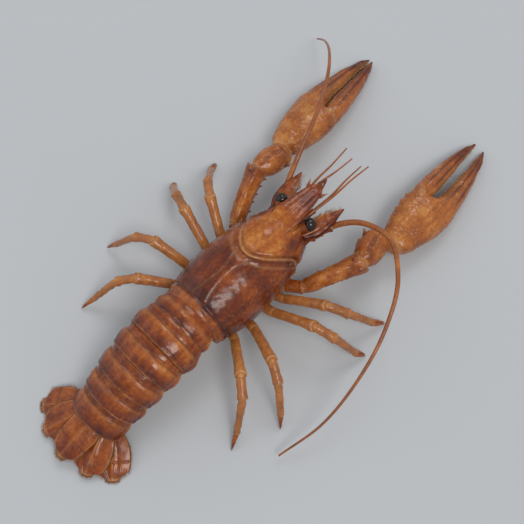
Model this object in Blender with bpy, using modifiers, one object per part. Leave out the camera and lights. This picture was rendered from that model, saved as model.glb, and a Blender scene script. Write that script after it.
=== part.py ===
"""A boiled narrow-clawed crayfish lying belly down: claws stretched forward, legs splayed, tail half curled.

Its head points along -Y, its left side is +X, and it stands on z = 0 with the middle of its footprint at the
origin. Sizes are in millimetres and MM turns them into metres. A place on the animal is (side, forward, up):
to its left from the midline, ahead of the rear margin of the carapace, and above the ground under its belly.
"""

import math

import bmesh
import bpy
from mathutils import Vector

MM = 0.001
UP = Vector((0, 0, 1))
SIDES = (("left", 1), ("right", -1))
JOINT_GAP = 0.42  # between two pieces that meet at a joint

# Driving dimensions
CARAPACE_LENGTH = 46.0  # rear margin to the face, without the rostrum
CARAPACE_HALF_WIDTH = 14.2
CARAPACE_TOP = 30.6
CARAPACE_HEM = 6.0
ROSTRUM_REACH = 16.0  # ahead of the face
GROOVE_RADIUS = 1.0
STERNUM_HALF_WIDTH = 6.2
CLAW_LENGTH = 58.0
CLAW_HALF_WIDTH = 9.2
CLAW_HALF_DEPTH = 5.6
FINGER_HINGE = 0.42  # share of the claw's length
WRIST_LENGTH = 14.2
WHIP_RADIUS = 1.0
EYE_RADIUS = 2.3
FAN_LENGTH = 16.5
FAN_THICKNESS = 1.2

# Each tail segment: length between its hinges, slope below level in degrees, half width, and height of its
# back over the line of the hinges
TAIL_SEGMENTS = (
    (6.5, -3.0, 11.2, 8.2),
    (8.0, 5.0, 12.2, 8.8),
    (8.0, 14.0, 12.0, 8.4),
    (8.0, 22.0, 11.4, 7.8),
    (7.5, 29.0, 10.7, 7.1),
    (8.8, 32.0, 9.8, 6.2),
)
TAIL_HINGE = (0.0, -1.0, 20.0)
FAN_SLOPE = 11.0

# Joints of the left walking legs, front to back, each from inside the body to the tip of its toe
LEG_JOINTS = (
    (
        (6.8, 24.6, 7.4), (15.0, 26.8, 9.6), (28.0, 33.8, 16.6),
        (34.0, 38.2, 13.6), (40.0, 45.2, 4.4), (42.4, 49.6, 0.5),
    ),
    (
        (6.8, 19.5, 7.2), (16.0, 20.8, 9.8), (31.0, 23.5, 17.4),
        (38.0, 25.5, 14.2), (45.2, 29.0, 4.2), (48.0, 31.6, 0.5),
    ),
    (
        (6.8, 13.5, 7.2), (15.5, 12.2, 9.8), (29.0, 8.4, 16.8),
        (35.6, 5.6, 14.0), (42.4, 1.0, 4.4), (45.4, -1.6, 0.5),
    ),
    (
        (6.4, 8.2, 7.4), (13.8, 4.8, 9.6), (24.4, -4.0, 15.0),
        (29.4, -8.8, 12.4), (33.8, -17.0, 4.0), (35.8, -22.0, 0.5),
    ),
)
# How far each leg is turned forward about its hip, in degrees, and how far its knee is raised, front to back
LEG_SHIFTS = {
    "left": ((0.0, 0.0), (3.0, -0.8), (0.0, 0.6), (-3.0, 0.0)),
    "right": ((-4.0, 0.8), (5.0, 0.6), (-5.0, -0.6), (4.0, 1.0)),
}
LEG_GIRTH = ((1.6, 1.8), (1.6, 1.9), (1.9, 2.1), (1.5, 1.6), (1.3, 1.4), (0.3, 0.35))

# Each side's arm: where elbow and knuckle lie, the headings of wrist and claw, and how far the finger opens.
# A heading is pitch above level, roll outwards and yaw outwards, in degrees.
ARM_POSES = {
    "left": {
        "elbow": (25.2, 53.6, 13.0), "wrist": (-15.0, 6.0, -4.0),
        "knuckle": (26.2, 66.2, 9.6), "claw": (-8.0, 12.0, 6.0), "gape": 1.5,
    },
    "right": {
        "elbow": (25.2, 53.6, 13.0), "wrist": (-15.0, 6.0, -12.0),
        "knuckle": (27.8, 65.8, 9.6), "claw": (-8.0, 12.0, -3.0), "gape": 6.0,
    },
}
WHIP_ROUTES = {
    "left": (
        (10.6, 53.8, 19.6), (14.6, 64.0, 25.0), (20.0, 78.0, 28.6), (28.0, 92.0, 28.0),
        (37.0, 103.0, 22.5), (45.5, 110.5, 13.5), (53.0, 115.0, 3.4),
    ),
    "right": (
        (10.6, 53.8, 19.6), (18.0, 60.0, 24.6), (29.0, 61.0, 28.0), (40.0, 53.0, 27.0),
        (48.0, 39.0, 22.5), (52.5, 22.0, 16.0), (53.5, 5.0, 9.5), (50.0, -11.0, 3.2),
    ),
}

SHELL_BROWN = (0.36, 0.15, 0.055, 1.0)
CLAW_ORANGE = (0.48, 0.18, 0.06, 1.0)
LIMB_TAN = (0.45, 0.22, 0.10, 1.0)
EYE_BLACK = (0.010, 0.008, 0.008, 1.0)


def place(side, forward, up):
    """The point in the model's space of a place on the animal."""
    return Vector((side, -forward, up)) * MM


def mirrored(hand, spot):
    """A spot given for the left side, as a point on the side of that hand: 1 is left and -1 is right."""
    return place(hand * spot[0], spot[1], spot[2])


def clear_scene():
    for leftover in list(bpy.data.objects):
        bpy.data.objects.remove(leftover)


def make_collection(name):
    collection = bpy.data.collections.new(name)
    bpy.context.scene.collection.children.link(collection)
    return collection


def make_material(name, colour, roughness):
    material = bpy.data.materials.new(name)
    material.use_nodes = True
    shader = material.node_tree.nodes["Principled BSDF"]
    shader.inputs["Base Color"].default_value = colour
    shader.inputs["Roughness"].default_value = roughness
    shader.inputs["Metallic"].default_value = 0.0
    return material


def add_piece(name, mesh, material):
    piece = bpy.data.objects.new(name, mesh)
    if not mesh.materials:
        mesh.materials.append(material)
    CRAYFISH.objects.link(piece)
    piece.parent = ANIMAL
    return piece


def baked(source, name):
    """A new mesh of what an object shows, with its modifiers applied and its seams closed."""
    graph = bpy.context.evaluated_depsgraph_get()
    mesh = bpy.data.meshes.new_from_object(source.evaluated_get(graph), depsgraph=graph)
    weld = bmesh.new()
    weld.from_mesh(mesh)
    bmesh.ops.remove_doubles(weld, verts=weld.verts, dist=1e-6)
    bmesh.ops.recalc_face_normals(weld, faces=weld.faces)
    weld.to_mesh(mesh)
    weld.free()
    mesh.name = name
    mesh.shade_smooth()
    return mesh


def loft(name, rings, material, levels=0):
    """A closed skin over rings of points, capped at both ends, and subdivided if levels is over 0."""
    cage = bmesh.new()
    loops = [[cage.verts.new(point) for point in ring] for ring in rings]
    count = len(rings[0])
    for near, far in zip(loops, loops[1:]):
        for i in range(count):
            j = (i + 1) % count
            cage.faces.new((near[i], near[j], far[j], far[i]))
    cage.faces.new(reversed(loops[0]))
    cage.faces.new(loops[-1])
    bmesh.ops.recalc_face_normals(cage, faces=cage.faces)
    mesh = bpy.data.meshes.new(name)
    cage.to_mesh(mesh)
    cage.free()
    mesh.shade_smooth()
    piece = add_piece(name, mesh, material)
    if levels:
        smooth = piece.modifiers.new("Smooth", "SUBSURF")
        smooth.levels = levels
        smooth.render_levels = levels
    return piece


def oval_rings(stations, sides, up=UP):
    """Oval sections along stations of point, half width and half depth. The depth lies along up."""
    last = len(stations) - 1
    rings = []
    for k, (point, half_width, half_depth) in enumerate(stations):
        along = (stations[min(k + 1, last)][0] - stations[max(k - 1, 0)][0]).normalized()
        across = along.cross(up).normalized()
        depth = across.cross(along)
        across *= half_width * MM
        depth *= half_depth * MM
        turns = [2 * math.pi * i / sides for i in range(sides)]
        rings.append([point + across * math.cos(t) + depth * math.sin(t) for t in turns])
    return rings


def tube(name, stations, material, resolution=1):
    """A round rod that tapers, from a curve through stations of point and radius."""
    curve = bpy.data.curves.new(name, "CURVE")
    curve.dimensions = "3D"
    curve.bevel_depth = MM
    curve.bevel_resolution = resolution
    curve.use_fill_caps = True
    spline = curve.splines.new("POLY")
    spline.points.add(len(stations) - 1)
    for knot, (point, radius) in zip(spline.points, stations):
        knot.co = (*point, 1)
        knot.radius = radius
    guide = bpy.data.objects.new(name, curve)
    CRAYFISH.objects.link(guide)
    mesh = baked(guide, name)
    bpy.data.objects.remove(guide)
    return add_piece(name, mesh, material)


def smooth_route(knots, steps):
    """Points along a smooth curve through the knots, with some steps between each two."""
    padded = [2 * knots[0] - knots[1], *knots, 2 * knots[-1] - knots[-2]]
    points = []
    for a, b, c, d in zip(padded, padded[1:], padded[2:], padded[3:]):
        for k in range(steps):
            t = k / steps
            bend = (2 * a - 5 * b + 4 * c - d) * t**2
            twist = (3 * b - a - 3 * c + d) * t**3
            points.append((2 * b + (c - a) * t + bend + twist) / 2)
    return [*points, knots[-1]]


def fuse(name, shapes):
    """Joins overlapping shapes into one mesh by a Boolean union, and removes the shapes."""
    base, *others = shapes
    gathered = make_collection(f"{name}_shapes")
    for shape in others:
        gathered.objects.link(shape)
    union = base.modifiers.new("Union", "BOOLEAN")
    union.operation = "UNION"
    union.solver = "EXACT"
    union.operand_type = "COLLECTION"
    union.collection = gathered
    mesh = baked(base, name)
    for shape in shapes:
        bpy.data.objects.remove(shape)
    bpy.data.collections.remove(gathered)
    return add_piece(name, mesh, mesh.materials[0])


def set_down(piece, spot, pitch=0.0, roll=0.0, yaw=0.0):
    """Places a piece at a point: rolled about its length, then pitched nose up, then turned, in degrees."""
    piece.location = spot
    piece.rotation_mode = "YXZ"
    piece.rotation_euler = (-math.radians(pitch), math.radians(roll), math.radians(yaw))
    return piece


def cut_away(piece, cutter, reason):
    """Takes the cutter's shape out of the piece, and puts the cutter with the other hidden ones."""
    for collection in list(cutter.users_collection):
        collection.objects.unlink(cutter)
    CUTTERS.objects.link(cutter)
    cutter.hide_render = True
    cutter.display_type = "WIRE"
    cut = piece.modifiers.new(reason, "BOOLEAN")
    cut.operation = "DIFFERENCE"
    cut.solver = "EXACT"
    cut.object = cutter
    return piece


def seat(piece, *neighbours):
    """Cuts the piece back from its neighbours, so that it meets each of them across JOINT_GAP."""
    for neighbour in neighbours:
        cutter = neighbour.copy()
        cutter.name = f"room_for_{neighbour.name}_in_{piece.name}"
        for trim in [m for m in cutter.modifiers if m.type == "BOOLEAN"]:
            cutter.modifiers.remove(trim)
        swell = cutter.modifiers.new("Swell", "DISPLACE")
        swell.mid_level = 0.0
        swell.strength = JOINT_GAP * MM
        cut_away(piece, cutter, f"Clear of {neighbour.name}")
    return piece


# Head and thorax


def body_ring(forward, half_width, top, bottom, middle=16.0, sides=22):
    """A cross section of the thorax: an arched back over flanks that tuck in to the belly."""
    ring = []
    for i in range(sides):
        turn = 2 * math.pi * i / sides
        rise = math.cos(turn) * (top - middle if math.cos(turn) > 0 else middle - bottom)
        ring.append(place(half_width * math.sin(turn), forward, middle + rise))
    return ring


def make_sternum():
    """The body's underside between the legs, which hangs in the open belly of the carapace."""
    rows = (  # ahead of the carapace's rear margin, share of the width, top, bottom
        (2.5, 0.45, 9.4, 6.8), (4.0, 0.70, 10.0, 5.2), (10.0, 0.95, 10.4, 4.6), (18.0, 1.00, 10.4, 4.4),
        (26.0, 0.88, 10.4, 4.6), (33.0, 0.66, 10.0, 5.2), (36.0, 0.40, 9.4, 6.6),
    )
    rings = []
    for forward, share, top, bottom in rows:
        middle, half_depth = (top + bottom) / 2, (top - bottom) / 2
        turns = [2 * math.pi * i / 10 for i in range(10)]
        reach = share * STERNUM_HALF_WIDTH
        rings.append([place(reach * math.sin(t), forward, middle + half_depth * math.cos(t)) for t in turns])
    return loft("sternum", rings, LIMB)


def make_rostrum():
    """The beak between the eyes: a flat tapering blade with a spine each side before its point."""
    outline = (  # ahead of the face, half width, half depth, depth under the carapace's top
        (-9.0, 4.4, 0.9, 1.6), (-2.0, 4.7, 1.0, 1.4), (2.0, 4.3, 1.0, 1.8), (9.0, 3.3, 0.9, 2.5),
        (11.0, 3.5, 0.9, 2.6), (12.4, 1.9, 0.8, 2.6), (14.4, 1.0, 0.7, 2.4), (ROSTRUM_REACH, 0.3, 0.3, 2.1),
    )
    stations = [
        (place(0, CARAPACE_LENGTH + ahead, CARAPACE_TOP - under), half_width, half_depth)
        for ahead, half_width, half_depth, under in outline
    ]
    return loft("rostrum", oval_rings(stations, 8), SHELL)


def make_carapace(sternum):
    """The shield over head and thorax, with the rostrum."""
    wide, top, hem = CARAPACE_HALF_WIDTH, CARAPACE_TOP, CARAPACE_HEM
    profile = (  # share of the length from the rear margin, half width, top, bottom
        (0.00, 0.80 * wide, top - 3.4, hem + 3.4), (0.03, 0.87 * wide, top - 2.4, hem + 1.7),
        (0.13, 0.97 * wide, top - 1.2, hem), (0.30, 1.03 * wide, top - 0.1, hem),
        (0.47, 1.02 * wide, top + 0.2, hem), (0.56, 0.97 * wide, top - 0.2, hem + 0.1),
        (0.66, 0.92 * wide, top + 0.2, hem + 0.4), (0.80, 0.81 * wide, top - 0.7, hem + 1.4),
        (0.91, 0.68 * wide, top - 2.2, hem + 3.6), (0.98, 0.55 * wide, top - 4.0, hem + 6.6),
        (1.00, 0.40 * wide, top - 6.2, hem + 9.0),
    )
    rings = [body_ring(share * CARAPACE_LENGTH, *section) for share, *section in profile]
    shield = loft("shield", rings, SHELL, levels=1)
    carapace = fuse("carapace", [shield, make_rostrum()])
    cut_away(carapace, make_neck_groove(carapace), "Neck groove")
    return seat(carapace, sternum)


def make_neck_groove(carapace, reach=80.0, steps=9):
    """A bent rod half sunk in the shield: a U over its back behind the head, whose arms run forward."""
    stations = []
    for k in range(-steps, steps + 1):
        share = k / steps
        turn = math.radians(share * reach)
        forward = 24.0 + 12.4 * share**2 * (3 - 2 * abs(share))
        beside = place(18 * math.sin(turn), forward, 16 + 18 * math.cos(turn))
        _, on_shell, outwards, _ = carapace.closest_point_on_mesh(beside)
        stations.append((on_shell + outwards * 0.3 * MM, GROOVE_RADIUS))
    return tube("neck_groove", stations, SHELL)


def make_eye(side_name, hand, carapace):
    """A black ball on its short stalk, just outside the root of the rostrum."""
    ball_centre = mirrored(hand, (6.5, 47.2, 25.4))
    stalk_root = mirrored(hand, (3.6, 42.0, 23.6))
    sphere = bmesh.new()
    bmesh.ops.create_uvsphere(sphere, u_segments=12, v_segments=8, radius=EYE_RADIUS * MM)
    bmesh.ops.translate(sphere, verts=sphere.verts, vec=ball_centre)
    mesh = bpy.data.meshes.new("ball")
    sphere.to_mesh(mesh)
    sphere.free()
    ball = add_piece("ball", mesh, EYE)
    neck = stalk_root.lerp(ball_centre, 0.6)
    stalk = tube("stalk", [(stalk_root, 1.3), (neck, 1.5), (ball_centre, 1.6)], EYE)
    return seat(fuse(f"eye_{side_name}", [ball, stalk]), carapace)


def make_antenna(side_name, hand, neighbours):
    """A thick jointed root and a long whip that thins to its tip."""
    root = ((4.6, 43.0, 17.4, 1.8), (7.4, 47.2, 17.8, 2.3), (8.2, 49.2, 18.2, 1.7), (9.2, 51.4, 18.8, 1.9))
    stations = [(mirrored(hand, spot[:3]), spot[3]) for spot in root]
    whip = smooth_route([mirrored(hand, spot) for spot in WHIP_ROUTES[side_name]], 3)
    for k, point in enumerate(whip):
        stations.append((point, WHIP_RADIUS * (1.15 - 0.8 * k / len(whip))))
    return seat(tube(f"antenna_{side_name}", stations, LIMB), *neighbours)


def make_antennule(side_name, hand, neighbours):
    """The short inner feeler: a root that forks into two whips."""
    root = [
        (mirrored(hand, (2.0, 44.0, 20.6)), 1.3), (mirrored(hand, (2.4, 48.6, 21.2)), 1.4),
        (mirrored(hand, (3.0, 54.2, 21.8)), 0.9),
    ]
    shapes = [tube("root", root, LIMB)]
    for drift, lift in ((2.2, 1.6), (-0.8, -2.2)):
        near = mirrored(hand, (2.9, 53.0, 21.7))
        far = mirrored(hand, (2.9 + drift, 78.0, 21.7 + lift))
        shapes.append(tube("feeler", [(near.lerp(far, k / 4), 0.62 - 0.07 * k) for k in range(5)], LIMB))
    return seat(fuse(f"antennule_{side_name}", shapes), *neighbours)


def make_antenna_scale(side_name, hand, neighbours):
    """The flat pointed blade over the root of the antenna."""
    outline = (
        ((6.3, 43.5, 21.6), 1.6, 0.60), ((7.6, 48.0, 21.9), 2.8, 0.55), ((8.4, 53.0, 22.2), 2.6, 0.50),
        ((9.2, 57.5, 22.4), 1.2, 0.40), ((9.8, 60.5, 22.4), 0.3, 0.30),
    )
    stations = [(mirrored(hand, spot), half_width, half_depth) for spot, half_width, half_depth in outline]
    return seat(loft(f"antenna_scale_{side_name}", oval_rings(stations, 8), LIMB), *neighbours)


def make_jaw_leg(side_name, hand, neighbours):
    """The leg-like mouthpart folded forward under the head."""
    outline = (
        ((3.4, 34.0, 5.8), 1.5, 1.5), ((3.8, 37.4, 5.0), 2.0, 1.9), ((4.2, 42.4, 7.2), 2.0, 1.8),
        ((4.0, 46.0, 10.6), 1.5, 1.5), ((3.4, 50.0, 11.8), 1.4, 1.3), ((2.6, 54.0, 10.2), 0.6, 0.6),
    )
    stations = [(mirrored(hand, spot), half_width, half_depth) for spot, half_width, half_depth in outline]
    return seat(loft(f"jaw_leg_{side_name}", oval_rings(stations, 8), LIMB), *neighbours)


# Tail


def tail_ring(back, half_width, rise, drop, arch=12):
    """A cross section of a tail segment: an arched plate, a lobe hanging each side, and a flat belly."""
    ring = []
    for i in range(arch + 1):
        turn = math.pi * (i / arch - 0.5)
        ring.append(place(half_width * math.sin(turn), -back, rise * math.cos(turn)))
    belly = min(4.2, drop)
    under = ((0.95, drop), (0.80, drop - 0.4), (0.62, belly), (0.0, belly + 0.4))
    beneath = [*under, *((-share, fall) for share, fall in reversed(under[:-1]))]
    return ring + [place(share * half_width, -back, -fall) for share, fall in beneath]


def make_tail(carapace):
    """Six overlapping segments, each hinged on the one before it, and the fan on the last."""
    hinge = place(*TAIL_HINGE)
    before = carapace
    for number, (length, slope, half_width, rise) in enumerate(TAIL_SEGMENTS, start=1):
        lobe = 3.6 if number == 1 else 6.6 - 0.25 * number
        profile = (  # distance back, share of the width, share of the height, depth of the side lobe
            (-1.6, 0.84, 0.86, 0.50 * lobe), (0.4, 0.95, 0.94, 0.62 * lobe), (1.8, 0.96, 0.95, 0.85 * lobe),
            (3.0, 0.99, 0.99, 0.97 * lobe), (0.62 * length, 1.01, 1.01, lobe),
            (0.92 * length, 1.00, 1.01, 0.90 * lobe), (length + 0.7, 0.98, 0.99, 0.62 * lobe),
        )
        rings = [tail_ring(back, w * half_width, h * rise, drop) for back, w, h, drop in profile]
        segment = set_down(loft(f"tail_segment_{number}", rings, SHELL), hinge, pitch=slope)
        seat(segment, before)
        step = math.radians(slope)
        hinge = hinge + place(0, -length * math.cos(step), -length * math.sin(step))
        before = segment
    make_fan(hinge, before)


def fan_blade(name, outline, height, turn, hinge, last_segment):
    """One flat blade of the tail fan, hinged at its narrow end, turned outwards and bent down behind."""
    stations = []
    for share, half_width in outline:
        back = share * FAN_LENGTH
        stations.append((place(0, -back, height - 1.4 * share**2), half_width, FAN_THICKNESS / 2))
    blade = loft(name, oval_rings(stations, 10), SHELL)
    set_down(blade, hinge, pitch=FAN_SLOPE, yaw=turn)
    return seat(blade, last_segment)


def make_fan(hinge, last_segment):
    """The telson in the middle, with an inner and an outer paddle each side, each a little lower."""
    telson = ((-0.13, 4.2), (0.05, 5.2), (0.30, 5.8), (0.60, 5.5), (0.82, 4.9), (0.95, 3.6), (1.00, 2.0))
    paddle = ((-0.13, 2.2), (0.04, 3.2), (0.25, 5.0), (0.52, 6.0), (0.76, 5.7), (0.93, 4.2), (1.00, 2.2))
    fan_blade("telson", telson, 1.9, 0.0, hinge, last_segment)
    for side_name, hand in SIDES:
        inner = hinge + place(hand * 4.0, 0.4, 0)
        outer = hinge + place(hand * 5.8, 1.0, 0)
        fan_blade(f"inner_paddle_{side_name}", paddle, 0.3, hand * -22.0, inner, last_segment)
        fan_blade(f"outer_paddle_{side_name}", paddle, -1.3, hand * -48.0, outer, last_segment)


# Claws


def make_arm(side_name, hand, neighbours):
    """The upper joints of the claw's arm, from under the thorax to beside the rostrum."""
    outline = (
        ((7.4, 30.6, 7.6), 2.0, 2.0), ((11.0, 31.2, 7.6), 2.6, 2.4), ((14.6, 32.4, 8.0), 2.7, 2.5),
        ((16.4, 34.4, 8.6), 2.2, 2.2), ((18.2, 37.8, 9.4), 2.8, 3.2), ((21.0, 43.6, 11.1), 3.4, 4.0),
        ((23.6, 49.8, 12.4), 3.8, 4.3), ((24.8, 52.8, 12.8), 3.2, 3.6), ((25.4, 54.4, 13.0), 2.0, 2.2),
    )
    stations = [(mirrored(hand, spot), half_width, half_depth) for spot, half_width, half_depth in outline]
    return seat(loft(f"arm_{side_name}", oval_rings(stations, 10), CLAW), *neighbours)


def turned(hand, heading):
    """A heading given for the left side, as pitch, roll and yaw on the side of that hand."""
    pitch, roll, yaw = heading
    return {"pitch": pitch, "roll": hand * roll, "yaw": hand * yaw}


def make_wrist(side_name, hand, arm):
    """The short swollen joint between arm and claw."""
    pose = ARM_POSES[side_name]
    outline = (  # share of the length, half width, half depth
        (0.00, 2.2, 2.2), (0.17, 3.9, 3.6), (0.49, 5.1, 4.4),
        (0.77, 5.0, 4.3), (0.93, 3.8, 3.4), (1.00, 2.2, 2.2),
    )
    stations = [(place(0, share * WRIST_LENGTH, 0), width, depth) for share, width, depth in outline]
    wrist = loft(f"wrist_{side_name}", oval_rings(stations, 10), CLAW)
    set_down(wrist, mirrored(hand, pose["elbow"]), **turned(hand, pose["wrist"]))
    return seat(wrist, arm)


def claw_rings(hand, profile, sides, gape=0.0):
    """Sections of the claw in its own frame, for share of its length, outer edge, inner edge and half depth.

    Both edges are shares of the claw's half width, positive on the outer side. A finger opens by its gape.
    """
    stations = []
    for share, outer, inner, half_depth in profile:
        opened = math.tan(math.radians(gape)) * max(0.0, share - FINGER_HINGE) * CLAW_LENGTH
        middle = hand * ((outer + inner) / 2 * CLAW_HALF_WIDTH - opened)
        half_width = (outer - inner) / 2 * CLAW_HALF_WIDTH
        stations.append((place(middle, share * CLAW_LENGTH, 0), half_width, half_depth * CLAW_HALF_DEPTH))
    return oval_rings(stations, sides)


def make_claw(side_name, hand, wrist):
    """The palm, which runs out into the fixed finger on its outer side."""
    profile = (
        (0.000, 0.30, -0.30, 0.45), (0.035, 0.50, -0.48, 0.70), (0.140, 0.76, -0.74, 0.93),
        (0.280, 0.98, -0.95, 1.04), (0.390, 1.05, -1.00, 0.99), (0.445, 1.02, -0.20, 0.90),
        (0.550, 0.90, 0.05, 0.74), (0.700, 0.70, 0.07, 0.58), (0.850, 0.46, 0.06, 0.41),
        (0.950, 0.27, 0.04, 0.24), (1.000, 0.13, 0.04, 0.08),
    )
    pose = ARM_POSES[side_name]
    claw = loft(f"claw_{side_name}", claw_rings(hand, profile, 10), CLAW, levels=1)
    set_down(claw, mirrored(hand, pose["knuckle"]), **turned(hand, pose["claw"]))
    return seat(claw, wrist)


def make_finger(side_name, hand, claw):
    """The moving finger on the inner side of the claw, beside the end of the palm."""
    profile = (
        (0.375, -0.40, -0.74, 0.45), (0.425, -0.26, -0.94, 0.66), (0.530, -0.12, -0.88, 0.66),
        (0.680, -0.08, -0.71, 0.55), (0.830, -0.05, -0.49, 0.40), (0.940, -0.03, -0.27, 0.23),
        (0.990, -0.03, -0.13, 0.08),
    )
    pose = ARM_POSES[side_name]
    finger = loft(f"finger_{side_name}", claw_rings(hand, profile, 8, gape=pose["gape"]), CLAW, levels=1)
    set_down(finger, claw.location, **turned(hand, pose["claw"]))
    return seat(finger, claw)


# Walking legs


def shifted_leg(joints, turn, rise):
    """A leg's joints, turned forward about its hip by degrees and with its knee raised."""
    sine, cosine = math.sin(math.radians(turn)), math.cos(math.radians(turn))
    hip_side, hip_forward, _ = joints[1]
    moved = list(joints[:2])
    for (side, forward, up), share in zip(joints[2:], (1.0, 0.6, 0.0, 0.0)):
        aside, ahead = side - hip_side, forward - hip_forward
        turned_side = hip_side + aside * cosine - ahead * sine
        turned_forward = hip_forward + aside * sine + ahead * cosine
        moved.append((turned_side, turned_forward, up + share * rise))
    return moved


def make_leg(name, hand, joints, neighbours):
    """A walking leg as one tapering piece, waisted at each joint."""
    points = [mirrored(hand, spot) for spot in joints]
    stations = [(points[0], *LEG_GIRTH[0])]
    for k, (near, far) in enumerate(zip(points, points[1:])):
        (near_width, near_depth), (far_width, far_depth) = LEG_GIRTH[k], LEG_GIRTH[k + 1]
        waist = 1.0 if k == len(points) - 2 else 0.72
        stations.append((near.lerp(far, 0.22), near_width, near_depth))
        stations.append((near.lerp(far, 0.78), far_width * 1.05, far_depth * 1.05))
        stations.append((far, far_width * waist, far_depth * waist))
    return seat(loft(name, oval_rings(stations, 7, up=Vector((0, 1, 0))), LIMB), *neighbours)


def make_limbs(carapace, sternum):
    """Claws, legs, eyes, feelers and mouthparts on both sides."""
    trunk = (carapace, sternum)
    for side_name, hand in SIDES:
        arm = make_arm(side_name, hand, trunk)
        claw = make_claw(side_name, hand, make_wrist(side_name, hand, arm))
        make_finger(side_name, hand, claw)
        for number, (joints, shift) in enumerate(zip(LEG_JOINTS, LEG_SHIFTS[side_name]), start=1):
            make_leg(f"leg_{side_name}_{number}", hand, shifted_leg(joints, *shift), trunk)
        make_eye(side_name, hand, carapace)
        make_antenna(side_name, hand, [carapace])
        make_antennule(side_name, hand, [carapace])
        make_antenna_scale(side_name, hand, [carapace])
        make_jaw_leg(side_name, hand, trunk)


def centre_on_ground():
    """Moves the whole animal so that the middle of its footprint is the origin and it stands on z = 0."""
    bpy.context.view_layer.update()
    graph = bpy.context.evaluated_depsgraph_get()
    low, high = Vector((1e3,) * 3), Vector((-1e3,) * 3)
    for piece in CRAYFISH.objects:
        if piece.type != "MESH":
            continue
        shown = piece.evaluated_get(graph)
        for vertex in shown.data.vertices:
            point = shown.matrix_world @ vertex.co
            low = Vector(map(min, low, point))
            high = Vector(map(max, high, point))
    ANIMAL.location = (-(low.x + high.x) / 2, -(low.y + high.y) / 2, -low.z)


clear_scene()
CRAYFISH = make_collection("crayfish")
CUTTERS = make_collection("cutters")
ANIMAL = bpy.data.objects.new("animal", None)
CRAYFISH.objects.link(ANIMAL)
SHELL = make_material("shell", SHELL_BROWN, 0.42)
CLAW = make_material("claw", CLAW_ORANGE, 0.40)
LIMB = make_material("limb", LIMB_TAN, 0.45)
EYE = make_material("eye", EYE_BLACK, 0.12)

underside = make_sternum()
shield_with_rostrum = make_carapace(underside)
make_tail(shield_with_rostrum)
make_limbs(shield_with_rostrum, underside)
centre_on_ground()
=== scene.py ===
"""A boiled crayfish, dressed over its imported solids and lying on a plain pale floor.

Its own plan is in millimetres: X to its left, -Y ahead of it and Z up, with the origin on the ground under
the rear margin of the carapace. publish() moves each finished skin into the model's space, in metres.
"""

import math
from types import SimpleNamespace

import bpy
import numpy as np
from mathutils import Euler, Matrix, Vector


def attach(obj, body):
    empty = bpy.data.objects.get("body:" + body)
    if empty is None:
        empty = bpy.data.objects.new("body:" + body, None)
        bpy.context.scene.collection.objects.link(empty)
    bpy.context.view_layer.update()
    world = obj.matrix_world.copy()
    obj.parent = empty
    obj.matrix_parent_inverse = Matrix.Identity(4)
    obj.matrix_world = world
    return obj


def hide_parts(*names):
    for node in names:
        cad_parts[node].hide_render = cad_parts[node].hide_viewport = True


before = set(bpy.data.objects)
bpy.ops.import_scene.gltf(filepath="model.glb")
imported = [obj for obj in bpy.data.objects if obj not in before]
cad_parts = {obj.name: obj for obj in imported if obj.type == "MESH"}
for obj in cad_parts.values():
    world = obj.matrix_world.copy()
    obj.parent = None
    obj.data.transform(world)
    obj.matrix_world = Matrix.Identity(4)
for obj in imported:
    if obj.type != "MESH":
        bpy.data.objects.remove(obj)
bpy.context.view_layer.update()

MM = 0.001
ORIGIN = np.array((0.425, 30.961, -0.077))  # where the solids' centring puts the plan's origin
SIDES = (("left", 1), ("right", -1))
UP = (0.0, 0.0, 1.0)
LEVEL = (0.0, 1.0, 0.0)

# Driving dimensions, as in the solids. Places are given as side, ahead and up, for the left side
CARAPACE_LENGTH = 46.0
CARAPACE_HALF_WIDTH = 14.2
CARAPACE_TOP = 30.6
CARAPACE_HEM = 6.0
CARAPACE_MIDDLE = 16.0
MM_PER_DEGREE = 0.25  # along the thorax's skin, at a turn from the back's middle
ROSTRUM_REACH = 16.0
STERNUM_HALF_WIDTH = 6.2
CLAW_LENGTH = 58.0
CLAW_HALF_WIDTH = 9.2
CLAW_HALF_DEPTH = 5.6
FINGER_HINGE = 0.42
KNOBS_AHEAD = 0.405 * CLAW_LENGTH  # of the moving finger's hinge
KNOBS_ASIDE = -5.6
KNOBS_RISE = 3.3
WRIST_LENGTH = 14.2
WHIP_RADIUS = 1.0
EYE_PLACE = (6.5, 47.2, 25.4)
EYE_ROOT = (3.8, 42.6, 23.8)
EYE_RADIUS = 2.3
EYE_CLEARANCE = 0.55
FAN_LENGTH = 16.5
FAN_THICKNESS = 1.2
FAN_SLOPE = 11.0
TAIL_HINGE = (0.0, -1.0, 20.0)
TAIL_SEGMENTS = (  # length, slope below level in degrees, half width, height of the back over the hinges
    (6.5, -3.0, 11.2, 8.2),
    (8.0, 5.0, 12.2, 8.8),
    (8.0, 14.0, 12.0, 8.4),
    (8.0, 22.0, 11.4, 7.8),
    (7.5, 29.0, 10.7, 7.1),
    (8.8, 32.0, 9.8, 6.2),
)
LEG_JOINTS = (
    (
        (6.8, 24.6, 7.4), (15.0, 26.8, 9.6), (28.0, 33.8, 16.6),
        (34.0, 38.2, 13.6), (40.0, 45.2, 4.4), (42.4, 49.6, 0.5),
    ),
    (
        (6.8, 19.5, 7.2), (16.0, 20.8, 9.8), (31.0, 23.5, 17.4),
        (38.0, 25.5, 14.2), (45.2, 29.0, 4.2), (48.0, 31.6, 0.5),
    ),
    (
        (6.8, 13.5, 7.2), (15.5, 12.2, 9.8), (29.0, 8.4, 16.8),
        (35.6, 5.6, 14.0), (42.4, 1.0, 4.4), (45.4, -1.6, 0.5),
    ),
    (
        (6.4, 8.2, 7.4), (13.8, 4.8, 9.6), (24.4, -4.0, 15.0),
        (29.4, -8.8, 12.4), (33.8, -17.0, 4.0), (35.8, -22.0, 0.5),
    ),
)
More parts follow.
